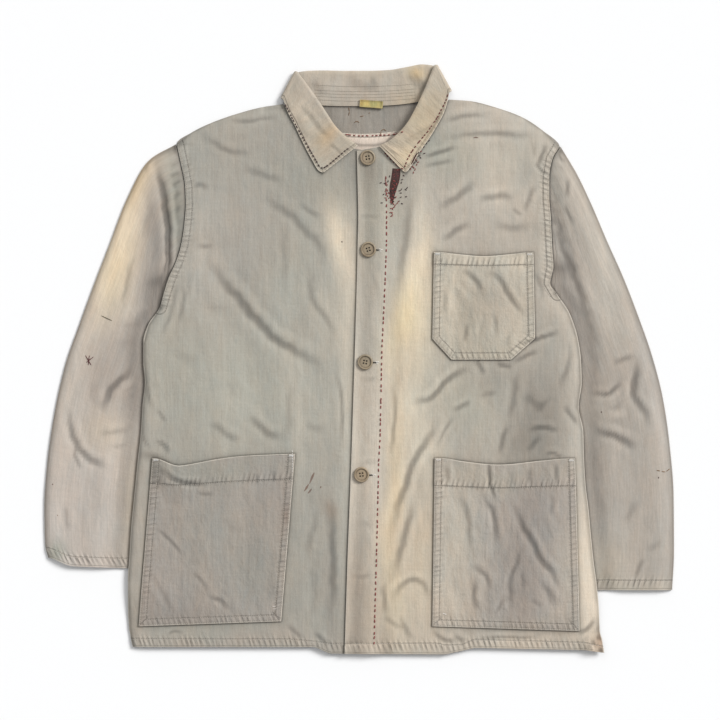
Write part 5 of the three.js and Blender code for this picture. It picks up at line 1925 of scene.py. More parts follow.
@dataclass
class Pocket(Panel):
    """A patch pocket on a front, with a turned mouth band and a double row of stitching."""

    cloth: Cloth = Cloth.POCKET
    lines: PocketPlan | None = None
    pitch: float = 1.9

    def plan(self) -> tuple[Array, Array, Array, Array]:
        """Give the plan places of the pocket's grid, and its shares across and down.

        Returns:
            x and y, and the shares across and down.
        """
        rows = np.asarray(self.lines.outline, float)
        run = np.concatenate([[0], np.cumsum(np.hypot(*np.diff(rows[:, :2], axis=0).T))])
        down = np.sort(np.concatenate([edged(float(run[-1]), self.pitch), run[1:-1] / run[-1]]))
        sides = np.stack([np.interp(down, run / run[-1], rows[:, k]) for k in range(4)], -1)
        across = edged(float(np.hypot(rows[0, 0] - rows[0, 2], rows[0, 1] - rows[0, 3])), self.pitch)[None, :]
        x = mix(sides[:, 0:1], sides[:, 2:3], across)
        y = mix(sides[:, 1:2], sides[:, 3:4], across)
        y = y - self.lines.dip(across) * smooth(1 - down[:, None] / 0.5)
        return x, y, np.broadcast_to(across, x.shape), np.broadcast_to(down[:, None], x.shape)

    def build(self) -> bpy.types.Object:
        """Build the pocket.

        Returns:
            The object.
        """
        lines = self.lines
        x, y, across, down = self.plan()
        inside = np.sin(np.pi * across) * smooth((1 - down) * 3)
        mouth = np.exp(-(((across - lines.gape_at) / 0.2) ** 2)) * smooth(1 - down * 4)
        opening = lines.gape * mouth * smooth(across * 8) * smooth((1 - across) * 8)
        folds = FOLD_GAIN * fold_height(POCKET_FOLDS, x, y) * smooth(inside * 3)
        under = Lay.front_top(lines.side, x, y) + SEAM + np.maximum(0, 1.8 * inside + folds) + opening
        from_row = lines.mouth_y(x, 0.3) - y
        from_side, along = to_line(x, y, lines.sewn)
        top = under + CLOTH + 0.7 * smooth((lines.band + 0.8 - from_row) / 1.6) + 0.5 * smooth((9.4 - from_side) / 1.8)
        own = np.minimum(from_side, lines.mouth_y(x) - y)
        fields = {
            "seam": self.triple(from_side, along, 8.6),
            "second_seam": self.triple(from_row, x, lines.band),
            "near": self.triple(np.maximum(own, 0), FAR),
        }
        piece = self.lay(under, top, x, y, fields)
        float(np.ptp(x)) / 1000
        float(np.ptp(y)) / 1000
        return piece


@dataclass
class Collar(Panel):
    """The collar: a stand and a fall in one folded wall, bent round the neck."""

    node: str = "collar"
    slot: str = "collar_twill"
    steps: int = 7
    tip_radius: float = 7.0

    def build(self) -> bpy.types.Object:
        """Build the wall.

        Returns:
            The object.
        """
        last = len(COLLAR) - 1
        at = np.linspace(0, last, last * self.steps + 1)
        fine = np.array([0.02, 0.06, 0.11, 0.2, 0.35])
        at = np.sort(np.concatenate([at, fine, last - fine]))
        table = curve(COLLAR, at)
        neck, fold, edge = table[:, 0:2], table[:, 2:4], table[:, 4:6]
        side, roll, drop = (table[:, k][:, None] for k in (6, 7, 8))
        from_end = self.from_ends(edge)
        edge = self.rounded(fold, edge, from_end)
        ends = (neck + edge) / 2
        stand = self.resting(ends[:, 0], ends[:, 1])[:, None]
        angle = side * np.pi / 2
        outward = np.stack([edge[:, 1] - fold[:, 1], fold[:, 0] - edge[:, 0]], -1)
        outward /= np.linalg.norm(outward, axis=1, keepdims=True)
        outward *= np.where(outward[:, :1] * np.sign(fold[:, :1]) < 0, -1, 1)
        reach = np.linalg.norm(neck - fold, axis=1) / np.linalg.norm(edge - fold, axis=1)
        over = np.minimum(0.8, reach)[:, None]
        up = np.array([0, 0.06, 0.14, 0.24, 0.36, 0.48, 0.6, 0.72, 0.82, 0.9, 0.96])[None, :]
        out = np.concatenate([np.linspace(0.03, 0.9, 20), [0.93, 0.955, 0.975, 0.99, 1]])[None, :]
        stand_face = self.face(neck, fold, up, CLOTH / 2 + LAYER, stand, angle, outward, roll * up**1.4)
        settle = drop * smooth((out - over) / (1.05 - over))
        xy = mix(fold[:, None, :], edge[:, None, :], out[..., None])
        ground = np.where(side > 0.99, self.resting(xy[..., 0], xy[..., 1]), stand)
        level = mix(stand, ground, drop * smooth(out / over)) + LAYER * (1 - settle)
        fall_face = self.face(fold, edge, out, CLOTH / 2, level, angle, outward, roll * (1 - out) ** 1.4)
        tip = (stand_face[:, -1] + fall_face[:, 0]) / 2
        direction = (fold - edge) / np.linalg.norm(fold - edge, axis=1, keepdims=True)
        tip[:, :2] += direction * LAYER * 0.9
        middle = np.concatenate([stand_face, tip[:, None], fall_face], axis=1)
        x, y = middle[..., 0].copy(), middle[..., 1].copy()
        creases = np.maximum(-0.2, fold_height(COLLAR_FOLDS, x, y) + 0.1)
        faces_up = np.zeros(x.shape)
        faces_up[:, up.size + 1 :] = smooth((side - 0.6) / 0.4)
        faces_up[:, : up.size] = smooth((-side - 0.6) / 0.4)
        middle[..., 2] += creases * faces_up
        normal = np.cross(np.gradient(middle, axis=0), np.gradient(middle, axis=1))
        normal /= np.linalg.norm(normal, axis=2, keepdims=True)
        thin = np.ones(middle.shape[1])
        thin[-2:], thin[0] = (0.85, 0.4), 0.5
        ends_thin = np.ones(len(at))
        ends_thin[[0, -1]], ends_thin[[1, -2]] = 0.4, 0.8
        half = CLOTH / 2 * thin[None, :] * ends_thin[:, None]
        lower, upper = middle - normal * half[..., None], middle + normal * half[..., None]
        run = np.concatenate([[0], np.cumsum(np.hypot(*np.diff(edge, axis=0).T))])[:, None]
        depth = np.linalg.norm(fold - edge, axis=1)[:, None] * (1 - out)
        from_edge = np.full(x.shape, FAR)
        from_edge[:, up.size + 1 :] = depth
        nearest = np.minimum(from_edge, from_end[:, None])
        tall = np.linalg.norm(neck - fold, axis=1)[:, None] * up
        place = np.concatenate([tall, tall[:, -1:] + 2, tall[:, -1:] + 4 + out * 48], 1)
        fields = {
            "dye": DyeAndShade.at(self.node, x, y, creases),
            "grain": self.triple(np.broadcast_to(at[:, None] * 22, x.shape), place),
            "seam": self.triple(nearest, np.where(from_edge < from_end[:, None], run, x + y), 3.6),
            "near": self.triple(nearest, FAR),
        }
        piece = self.own(self.shop.shell("collar_cloth", lower, upper, self.finishes.cloths[Cloth.COLLAR], fields))
        return piece

    @staticmethod
    def from_ends(edge: Array) -> Array:
        """Measure along the outer edge from the nearer end of the collar."""
        run = np.concatenate([[0], np.cumsum(np.hypot(*np.diff(edge, axis=0).T))])
        return np.minimum(run, run[-1] - run)

    def rounded(self, fold: Array, edge: Array, from_end: Array) -> Array:
        """Round the two tips by shortening the fall next to the collar's ends.

        Args:
            fold: points on the roll line.
            edge: points on the outer edge.
            from_end: distance from the nearer end.

        Returns:
            The new outer edge.
        """
        short = 1 - np.clip(from_end / self.tip_radius, 0, 1)
        cut = self.tip_radius * (1 - np.sqrt(1 - short**2)) * 0.55
        direction = (fold - edge) / np.linalg.norm(fold - edge, axis=1, keepdims=True)
        return edge + direction * cut[:, None]

    @staticmethod
    def resting(x: Array, y: Array) -> Array:
        """Give the height of the wall's middle where it lies on the fronts."""
        top = np.where(x < 0, Lay.front_top(Side.RIGHT, x, y), Lay.front_top(Side.LEFT, x, y))
        return top + CLOTH / 2 + 2.4 * SEAM

    @staticmethod
    def face(
        start: Array, end: Array, share: Array, low: float, high: Array, angle: Array, outward: Array, lift: Array
    ) -> Array:
        """Place one face of the collar.

        Args:
            start: plan points where the face starts.
            end: plan points where it ends.
            share: places from start to end.
            low: height of the layer behind the neck.
            high: height of the layer on the fronts.
            angle: how far round the neck's corner each section is.
            outward: the way out at the corner.
            lift: height added by the roll.

        Returns:
            Points as [section][place][x, y, z].
        """
        radius = (high - low) / 2
        bulge = np.broadcast_to(radius * np.cos(angle), (len(start), share.shape[1]))
        xy = mix(start[:, None, :], end[:, None, :], share[..., None]) + outward[:, None, :] * bulge[..., None]
        z = np.broadcast_to((high + low) / 2 + radius * np.sin(angle) + lift, bulge.shape)
        return np.concatenate([xy, z[..., None]], axis=2)


@dataclass
class NeckPatch(Panel):
    """The light patch inside the back."""

    node: str = "neck_patch"
    slot: str = "cream_cotton"
    pitch: float = 1.6
    shaded_by: Line = ((-22, 284), (2, 279.5), (20, 279.5), (34, 282), (52, 300))

    def build(self) -> bpy.types.Object:
        """Build the patch.

        Returns:
            The object.
        """
        rows = np.array([(-30, 296, 62, 300), (-30, 284, 64, 288), (-32, 268, 62, 270), (-30, 250, 58, 252)], float)
        sides = curve(rows, edged(46, self.pitch) * 3)
        share = edged(92, self.pitch)[None, :]
        x = mix(sides[:, :1], sides[:, 2:3], share)
        y = mix(sides[:, 1:2], sides[:, 3:], share)
        y = y - 3.5 * np.sin(np.pi * share) * smooth(1 - 3 * np.linspace(0, 1, len(sides))[:, None])
        from_top = y.max(axis=0, keepdims=True) - y
        low = np.full_like(x, LAYER)
        top = low + CLOTH + 0.3 * smooth((5 - from_top) / 1.2)
        middle, thick = (low + top) / 2, (top - low) * rim(x.shape)
        fields = {
            "grain": self.triple(x, y),
            "seam": self.triple(from_top, x, 4.6),
            "near": self.triple(from_top, to_line(x, y, self.shaded_by)[0]),
        }
        grids = [self.triple(x, y, middle + sign * thick / 2) for sign in (-1, 1)]
        piece = self.own(self.shop.shell("neck_patch_cloth", *grids, self.finishes.cloths[Cloth.CREAM], fields))
        return piece


@dataclass
class NeckLabel(Panel):
    """The small folded label at the back neck, bare of lettering."""

    node: str = "neck_label"
    slot: str = "label"
    width: float = 30.0
    depth: float = 9.0
    turn: float = -0.08
    tape: float = 0.9

    def build(self) -> bpy.types.Object:
        """Build the strip, folded on itself.

        Returns:
            The object.
        """
        corners = [np.array(corner) * 1000 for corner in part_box("neck_label")]
        middle = (corners[0][:2] + corners[1][:2]) / 2 - np.array(self.shop.origin)
        base, gap = LAYER + CLOTH + SEAM + self.tape / 2, (self.tape + SEAM) / 2
        around = np.linspace(-math.pi / 2, math.pi / 2, 7)
        bend = [(gap - gap * math.cos(a), base + gap + gap * math.sin(a)) for a in around]
        profile = [(self.depth * s, base) for s in (1, 0.6, 0.2)] + bend
        profile += [(self.depth * s, base + 2 * gap + 0.5 * s * s) for s in (0.3, 0.6, 0.85, 1)]
        line = np.array(profile)
        along = np.linspace(-self.width / 2, self.width / 2, 30)[:, None]
        normal = np.gradient(line, axis=0)[:, ::-1] * np.array([1, -1])
        normal /= np.linalg.norm(normal, axis=1, keepdims=True)
        ripple = 0.35 * np.sin(along / 4.3 + 0.6) * smooth((line[:, 1] - base - gap) / gap)[None, :]

        def grid(sign: float) -> Array:
            """Place one face of the strip.

            Args:
                sign: -1 for its lower face.

            Returns:
                Its points.
            """
            face = line + normal * sign * self.tape / 2
            across = face[None, :, 0] - self.depth / 2
            c, s = math.cos(self.turn), math.sin(self.turn)
            return self.triple(
                middle[0] + along * c - across * s, middle[1] + along * s + across * c, face[None, :, 1] + ripple
            )

        low, high = grid(-1), grid(1)
        place = self.triple(along, np.broadcast_to(line[:, 0], (30, len(line))))
        dark = smooth((np.abs(along) - 9) / 5) * 0.4 + 0.25 * smooth((place[..., 1] - 5) / 3)
        paint = DyeAndShade.linear(mix(np.array([198.0, 180, 116]), np.array([120.0, 98, 56]), dark[..., None]))
        near = np.minimum(place[..., 1], self.width / 2 - np.abs(along))
        fields = {"dye": paint, "grain": place, "near": self.triple(near, FAR)}
        piece = self.own(self.shop.shell("neck_label_tape", low, high, self.finishes.cloths[Cloth.LABEL], fields))
        return piece


class Button:
    """A four-hole button with a raised rim, and the threads through it."""

    PROFILE: tuple[tuple[float, float], ...] = (
        (0.0, 0.0), (0.7, 0.0), (0.86, 0.05), (0.95, 0.2), (0.99, 0.42), (1.0, 0.6), (0.985, 0.8), (0.94, 0.95),
        (0.87, 1.0), (0.81, 0.97), (0.765, 0.8), (0.73, 0.64), (0.67, 0.6), (0.58, 0.62), (0.46, 0.62), (0.36, 0.6),
    )
    HOLE_RADIUS = 1.1
    HOLE_SPACING = 3.6

    def __init__(self, shop: Workshop, finishes: Finishes) -> None:
        """Take the workshop and the finishes."""
        self.shop = shop
        self.finishes = finishes

    def middle(self, number: int) -> tuple[Array, float]:
        """Give the middle of a button's solid on the plan, and the height of its underside."""
        low, high = (np.array(corner) * 1000 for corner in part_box(f"button_{number}"))
        return (low + high) / 2 - (*self.shop.origin, 0), low[2]

    def build(self, number: int, turn: float) -> bpy.types.Object:
        """Build one button where its solid is.

        Args:
            number: 1 for the button at the neck.
            turn: how far it is turned, in radians.

        Returns:
            The button.
        """
        centre, low = self.middle(number)
        around = np.linspace(0, 2 * np.pi, 48, endpoint=False)
        radius, height = np.array(self.PROFILE[1:]).T
        points = np.stack(np.broadcast_arrays(
            centre[0] + radius[:, None] * BUTTON_RADIUS * np.cos(around),
            centre[1] + radius[:, None] * BUTTON_RADIUS * np.sin(around),
            low + height[:, None] * BUTTON_THICKNESS,
        ), -1)
        count, size = points.shape[:2]
        index = np.arange(count * size).reshape(count, size)
        quads = tube_quads(index)
        mesh_points = points.reshape(-1, 3)
        bottom, top = len(mesh_points), len(mesh_points) + 1
        mesh_points = np.concatenate([
            mesh_points,
            [[centre[0], centre[1], low], [centre[0], centre[1], low + self.PROFILE[-1][1] * BUTTON_THICKNESS]],
        ])
        first, last = index[0], index[-1]
        fan = [np.stack([np.roll(first, -1), first, np.full(size, bottom), np.full(size, bottom)], -1)]
        fan.append(np.stack([last, np.roll(last, -1), np.full(size, top), np.full(size, top)], -1))
        obj = self.shop.mesh(
            f"button_{number}_disc", mesh_points, np.concatenate([quads, *fan]), self.finishes.button, sharp=40.0
        )
        self.drill(obj, centre, turn)
        obj.data.set_sharp_from_angle(angle=math.radians(40))
        self.darken(obj, centre)
        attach(obj, "root")
        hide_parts(f"button_{number}")
        return obj

    def darken(self, obj: bpy.types.Object, centre: Array) -> None:
        """Mark where the button is painted darker: the groove inside the rim, and as painted shade under the edge and
        in the holes.

        Args:
            obj: the piece.
            centre: the button's middle.
        """
        spots = np.array([tuple(v.co) for v in obj.data.vertices]) * 1000 - self.shop.place(centre) * 1000
        away = np.hypot(spots[:, 0], spots[:, 1]) / BUTTON_RADIUS
        groove = np.exp(-(((away - 0.71) / 0.05) ** 2)) * (spots[:, 2] > 0)
        hole = ((away < 0.45) & (away > 0.05) & (spots[:, 2] < 0.09 * BUTTON_THICKNESS)).astype(float)
        under = 0.8 * (spots[:, 2] < -0.3 * BUTTON_THICKNESS)
        darkened = obj.data.attributes.new("darkened", "FLOAT", "POINT")
        darkened.data.foreach_set("value", np.clip(0.85 * groove + hole + under, 0, 1).astype(np.float32))

    @classmethod
    def holes(cls, centre: Array, turn: float) -> list[tuple[float, float]]:
        """Give the middles of the four thread holes.

        Args:
            centre: the button's middle.
            turn: how far the button is turned, in radians.

        Returns:
            Their x and y.
        """
        angles = [turn + math.pi / 4 + k * math.pi / 2 for k in range(4)]
        spread = cls.HOLE_SPACING / math.sqrt(2)
        return [(centre[0] + spread * math.cos(angle), centre[1] + spread * math.sin(angle)) for angle in angles]

    def shanks(self, turns: Sequence[float]) -> bpy.types.Object:
        """Fill the foot of every hole with sewing thread, black so that it also stands as painted shade in the hole.

        Args:
            turns: how far each button is turned, in radians.

        Returns:
            The piece.
        """
        points, faces = [], []
        for number, turn in enumerate(turns, start=1):
            centre, low = self.middle(number)
            for x, y in self.holes(centre, turn):
                start = len(points)
                for z, swell in ((0.1, 0.9), (0.26, 0.9), (0.33, 0.5)):
                    points += [
                        (x + 0.95 * swell * math.cos(a), y + 0.95 * swell * math.sin(a), low + z * BUTTON_THICKNESS)
                        for a in np.linspace(0, 2 * math.pi, 10, endpoint=False)
                    ]
                faces += tube_quads(np.arange(start, start + 30).reshape(3, 10)).tolist()
                faces += [(start, start + i + 1, start + i, start + i) for i in range(1, 9)]
                faces += [(start + 20, start + 20 + i, start + 21 + i, start + 21 + i) for i in range(1, 9)]
        black = self.finishes.threads[Thread.BLACK]
        piece = self.shop.mesh("button_threads", np.array(points), faces, black, sharp=60.0)
        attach(piece, "root")
        return piece

    def drill(self, obj: bpy.types.Object, centre: Array, turn: float) -> None:
        """Cut the four thread holes.

        Args:
            obj: the piece.
            centre: the button's middle.
            turn: how far the button is turned, in radians.
        """
        points, faces = [], []
        for x, y in self.holes(centre, turn):
            start = len(points)
            for z in (centre[2] - 5, centre[2] + 5):
                points += [
                    (x + self.HOLE_RADIUS * math.cos(a), y + self.HOLE_RADIUS * math.sin(a), z)
                    for a in np.linspace(0, 2 * math.pi, 12, endpoint=False)
                ]
            faces += [(start + i, start + (i + 1) % 12, start + 12 + (i + 1) % 12, start + 12 + i) for i in range(12)]
            faces += [tuple(range(start + 11, start - 1, -1)), tuple(range(start + 12, start + 24))]
        mesh = bpy.data.meshes.new("thread_hole_cutter")
        mesh.from_pydata([tuple(p) for p in self.shop.place(np.array(points))], [], faces)
        cutter = bpy.data.objects.new("thread_hole_cutter", mesh)
        bpy.context.scene.collection.objects.link(cutter)
        cut = obj.modifiers.new("holes", "BOOLEAN")
        cut.operation, cut.solver, cut.object = "DIFFERENCE", "EXACT", cutter
        bpy.context.view_layer.update()
        shape = bpy.data.meshes.new_from_object(obj.evaluated_get(bpy.context.evaluated_depsgraph_get()))
        obj.modifiers.clear()
        obj.data = shape
        bpy.data.objects.remove(cutter)


class Ground:
    """Finds the upper face of the finished cloth, so that stitches can lie on it."""

    def __init__(self, shop: Workshop, pieces: Sequence[bpy.types.Object]) -> None:
        """Take every piece that stitches may lie on.

        Args:
            shop: the workshop.
            pieces: the pieces that stitches may lie on.
        """
        self.shop = shop
        points: list[Vector] = []
        faces: list[tuple[int, ...]] = []
        for piece in pieces:
            start = len(points)
            points += [v.co.copy() for v in piece.data.vertices]
            faces += [tuple(start + i for i in p.vertices) for p in piece.data.polygons]
        self.tree = BVHTree.FromPolygons(points, faces)

    def drop(self, plan: Array) -> tuple[Array, Array]:
        """Drop plan places on the cloth.

        Args:
            plan: rows of x, y in mm.

        Returns:
            The points that they meet in mm, and the cloth's normals there.
        """
        points, normals = [], []
        for x, y in plan:
            spot = self.shop.place(np.array([x, y, 100.0]))
            hit, normal, _, _ = self.tree.ray_cast(Vector(spot), Vector((0, 0, -1)))
            points.append((x, y, hit.z * 1000 if hit else 0.0))
            normals.append(tuple(normal) if normal and normal.z > 0.3 else (0.0, 0.0, 1.0))
        return np.array(points), np.array(normals)


@dataclass
class Sewing:
    """Makes rows of stitches as small joined threads that lie on the cloth."""

    shop: Workshop
    finishes: Finishes
    ground: Ground
    seed: int = 7
    total: int = 0

    def row(self, line: Line, pitch: float, length: float, wander: float = 0.0) -> Array:
        """Space stitches along a line.

        Args:
            line: plan points.
            pitch: distance from stitch to stitch.
            length: length of a stitch.
            wander: how unevenly a hand sewed it.

        Returns:
            A row for each stitch: middle x, middle y, direction x, direction y, length.
        """
        points = np.asarray(line, float)
        run = np.concatenate([[0], np.cumsum(np.hypot(*np.diff(points, axis=0).T))])
        rng = np.random.default_rng(self.seed + len(points) + int(run[-1]))
        at = np.arange(pitch / 2, run[-1], pitch)
        at = at + rng.normal(0, wander * pitch * 0.16, len(at))
        x, y = np.interp(at, run, points[:, 0]), np.interp(at, run, points[:, 1])
        step = 0.6
        dx = np.interp(at + step, run, points[:, 0]) - np.interp(at - step, run, points[:, 0])
        dy = np.interp(at + step, run, points[:, 1]) - np.interp(at - step, run, points[:, 1])
        angle = np.arctan2(dy, dx) + rng.normal(0, 0.12 * wander, len(at))
        lengths = length * (1 + rng.normal(0, 0.14 * wander, len(at)))
        return np.stack([x, y, np.cos(angle), np.sin(angle), lengths], -1)

    def strip(
        self, name: str, spine: Sequence[tuple[float, float, float]], thick: float, material: bpy.types.Material
    ) -> bpy.types.Object:
        """Lay a narrow strip on the cloth along a spine.

        Args:
            name: the piece's name.
            spine: (x, y, half its width) from end to end.
            thick: how far it stands above the cloth in mm.
            material: its material.

        Returns:
            The piece.
        """
        table = np.asarray(spine, float)
        fine = curve(table, np.linspace(0, len(table) - 1, 5 * len(table)))
        step = np.gradient(fine[:, :2], axis=0)
        step /= np.linalg.norm(step, axis=1, keepdims=True)
        share = np.linspace(-1, 1, 9)
        plan = fine[:, None, :2] + np.stack([-step[:, 1], step[:, 0]], -1)[:, None] * (fine[:, 2:3] * share)[..., None]
        points, _ = self.ground.drop(plan.reshape(-1, 2))
        points = points.reshape(*plan.shape[:2], 3)
        lift = np.array([0, 0, 1.0]) * (thick * (1 - 0.6 * share**4))[None, :, None]
        fields = {"grain": points, "near": np.broadcast_to((FAR, FAR, 0), points.shape).astype(float)}
        piece = self.shop.shell(name, points - (0, 0, 0.05), points + lift, material, fields)
        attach(piece, "root")
        return piece

    def sew(self, name: str, stitches: Array, thick: float, thread: Thread, slot: str = "twill") -> None:
        """Make one piece of many stitches.

        Args:
            name: the piece's name.
            stitches: rows from row().
            thick: the thread's diameter in mm.
            thread: the thread.
            slot: not used.
        """
        centre, normal = self.ground.drop(stitches[:, :2])
        along = np.concatenate([stitches[:, 2:4], np.zeros((len(stitches), 1))], 1)
        along -= normal * np.einsum("ij,ij->i", along, normal)[:, None]
        along /= np.linalg.norm(along, axis=1, keepdims=True)
        across = np.cross(normal, along)
        sides = 6
        turn = np.linspace(0, 2 * np.pi, sides, endpoint=False)
        half = ((-0.5, -0.35, 0.3), (-0.38, 0.25, 0.9), (-0.12, 0.45, 1.0))
        rings = (*half, *((-place, lift, swell) for place, lift, swell in half[::-1]))
        points = []
        for place, lift, swell in rings:
            middle = centre + along * (stitches[:, 4:5] * place) + normal * (thick * lift)
            for a in turn:
                points.append(middle + (across * math.cos(a) + normal * math.sin(a)) * (thick / 2 * swell))
        count = len(rings) * sides
        cloud = np.stack(points, 1).reshape(-1, 3)
        index = np.arange(count).reshape(len(rings), sides)
        quads = tube_quads(index)
        caps = [index[0, [3, 2, 1, 0]], index[0, [0, 5, 4, 3]], index[-1, [0, 1, 2, 3]], index[-1, [3, 4, 5, 0]]]
        one = np.concatenate([quads, caps])
        faces = (one[None] + (np.arange(len(stitches)) * count)[:, None, None]).reshape(-1, 4)
        piece = self.shop.mesh(name, cloud, faces, self.finishes.threads[thread], sharp=80.0)
        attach(piece, "root")
        self.total += len(stitches)


def inset_line(line: Line, distance: float) -> Array:
    """Move a line sideways, to its left as it runs.

    Args:
        line: plan points.
        distance: how far, in mm. Negative moves it to the right.

    Returns:
        The moved points.
    """
    points = np.asarray(line, float)
    step = np.diff(points, axis=0)
    step /= np.linalg.norm(step, axis=1, keepdims=True)
    normal = np.stack([-step[:, 1], step[:, 0]], -1)
    before, after = np.concatenate([normal[:1], normal]), np.concatenate([normal, normal[-1:]])
    mitre = before + after
    mitre /= np.einsum("ij,ij->i", mitre, after)[:, None]
    return points + mitre * distance


POCKETS = (
    PocketPlan(
        "pocket_chest", Side.LEFT, ((97, 140.5, 226, 140), (95, 28, 228, 28.5), (120, 1, 197, 1)), 5, 1.2, 0.5, 16
    ),
    PocketPlan(
        "pocket_lower_right",
        Side.RIGHT,
        ((-268, -126.5, -83, -121), (-277, -236, -92, -230), (-286, -345, -101, -338.5)),
        11,
        2.8,
        0.14,
        33,
    ),
    PocketPlan(
        "pocket_lower_left",
        Side.LEFT,
        ((98, -126.5, 280, -127), (96.5, -237, 283, -238), (95, -345, 286, -351)),
        8,
        1.6,
        0.45,
        36,
    ),
)


@dataclass
class Studio:
    """Camera, floor and light."""

    width: float = 0.936
    height: float = 3.2
    middle: tuple[float, float] = (1.3, 0.65)

    def camera(self, shop: Workshop) -> None:
        """Look straight down, framed as the photograph is.

        Args:
            shop: the workshop.
        """
        data = bpy.data.cameras.new("overhead")
        data.sensor_width = 36.0
        data.lens = 36.0 * self.height / self.width
        camera = bpy.data.objects.new("overhead", data)
        x, y, _ = shop.place(np.array([*self.middle, 0.0]))
        camera.location = (x, y, self.height)
        bpy.context.scene.collection.objects.link(camera)
        bpy.context.scene.camera = camera

    def floor(self) -> None:
        """Lay a plain pale floor."""
        mesh = bpy.data.meshes.new("floor")
        mesh.from_pydata([(-4, -4, -0.0002), (4, -4, -0.0002), (4, 4, -0.0002), (-4, 4, -0.0002)], [], [(0, 1, 2, 3)])
        floor = bpy.data.objects.new("floor", mesh)
        bpy.context.scene.collection.objects.link(floor)
        material = bpy.data.materials.new("pale floor")
        material.use_nodes = True
        shader = material.node_tree.nodes["Principled BSDF"]
        shader.inputs["Base Color"].default_value = (0.84, 0.84, 0.84, 1)
        shader.inputs["Roughness"].default_value = 0.9
        shader.inputs["Specular IOR Level"].default_value = 0.1
        mesh.materials.append(material)

    def light(self) -> None:
        """Light softly from the upper right."""
        world = bpy.data.worlds.new("soft room")
        world.use_nodes = True
        world.node_tree.nodes["Background"].inputs["Color"].default_value = (0.98, 0.99, 1.0, 1)
        world.node_tree.nodes["Background"].inputs["Strength"].default_value = 0.47
        bpy.context.scene.world = world
        for name, strength, angle, azimuth, elevation in (
            ("key", 3.3, 24.0, 35.0, 35.0),
            ("fill", 0.45, 60.0, 120.0, 55.0),
        ):
            data = bpy.data.lights.new(name, "SUN")
            data.energy = strength
            data.angle = math.radians(angle)
            lamp = bpy.data.objects.new(name, data)
            a, e = math.radians(azimuth), math.radians(elevation)
            towards = Vector((-math.cos(e) * math.cos(a), -math.cos(e) * math.sin(a), -math.sin(e)))
            lamp.rotation_euler = towards.to_track_quat("-Z", "Y").to_euler()
            bpy.context.scene.collection.objects.link(lamp)
        bpy.context.scene.view_settings.view_transform = "Standard"
        bpy.context.scene.view_settings.look = "None"


@dataclass
class Jacket:
    """The whole jacket, piece by piece."""

    shop: Workshop
    finishes: Finishes

    def build(self) -> None:
        """Build every piece in order."""
        kit = (self.shop, self.finishes)
        on = {side: tuple(lines for lines in POCKETS if lines.side is side) for side in Side}
        pieces: list[Panel] = [
            Back(*kit),
            Front(*kit, node="front_right", side=Side.RIGHT, pockets=on[Side.RIGHT]),
            Front(*kit, node="front_left", side=Side.LEFT, pockets=on[Side.LEFT]),
            Sleeve(*kit, node="sleeve_right", side=Side.RIGHT),
            Sleeve(*kit, node="sleeve_left", side=Side.LEFT),
            Collar(*kit),
            *(Pocket(*kit, node=lines.node, lines=lines) for lines in POCKETS),
            NeckPatch(*kit),
            NeckLabel(*kit),
        ]
        cloth = []
        for piece in pieces:
            cloth.append(piece.build())
            log.info("%s: %d faces", piece.node, len(cloth[-1].data.polygons))
        turns = (0.15, 0.3, -0.2, 0.1)
        for number, turn in enumerate(turns, start=1):
            button = Button(*kit).build(number, turn)
            log.info("%s: %d faces", button.name, len(button.data.polygons))
        log.info("button_threads: %d faces", len(Button(*kit).shanks(turns).data.polygons))
        Stitching(Sewing(*kit, Ground(self.shop, cloth)), self.finishes).build()


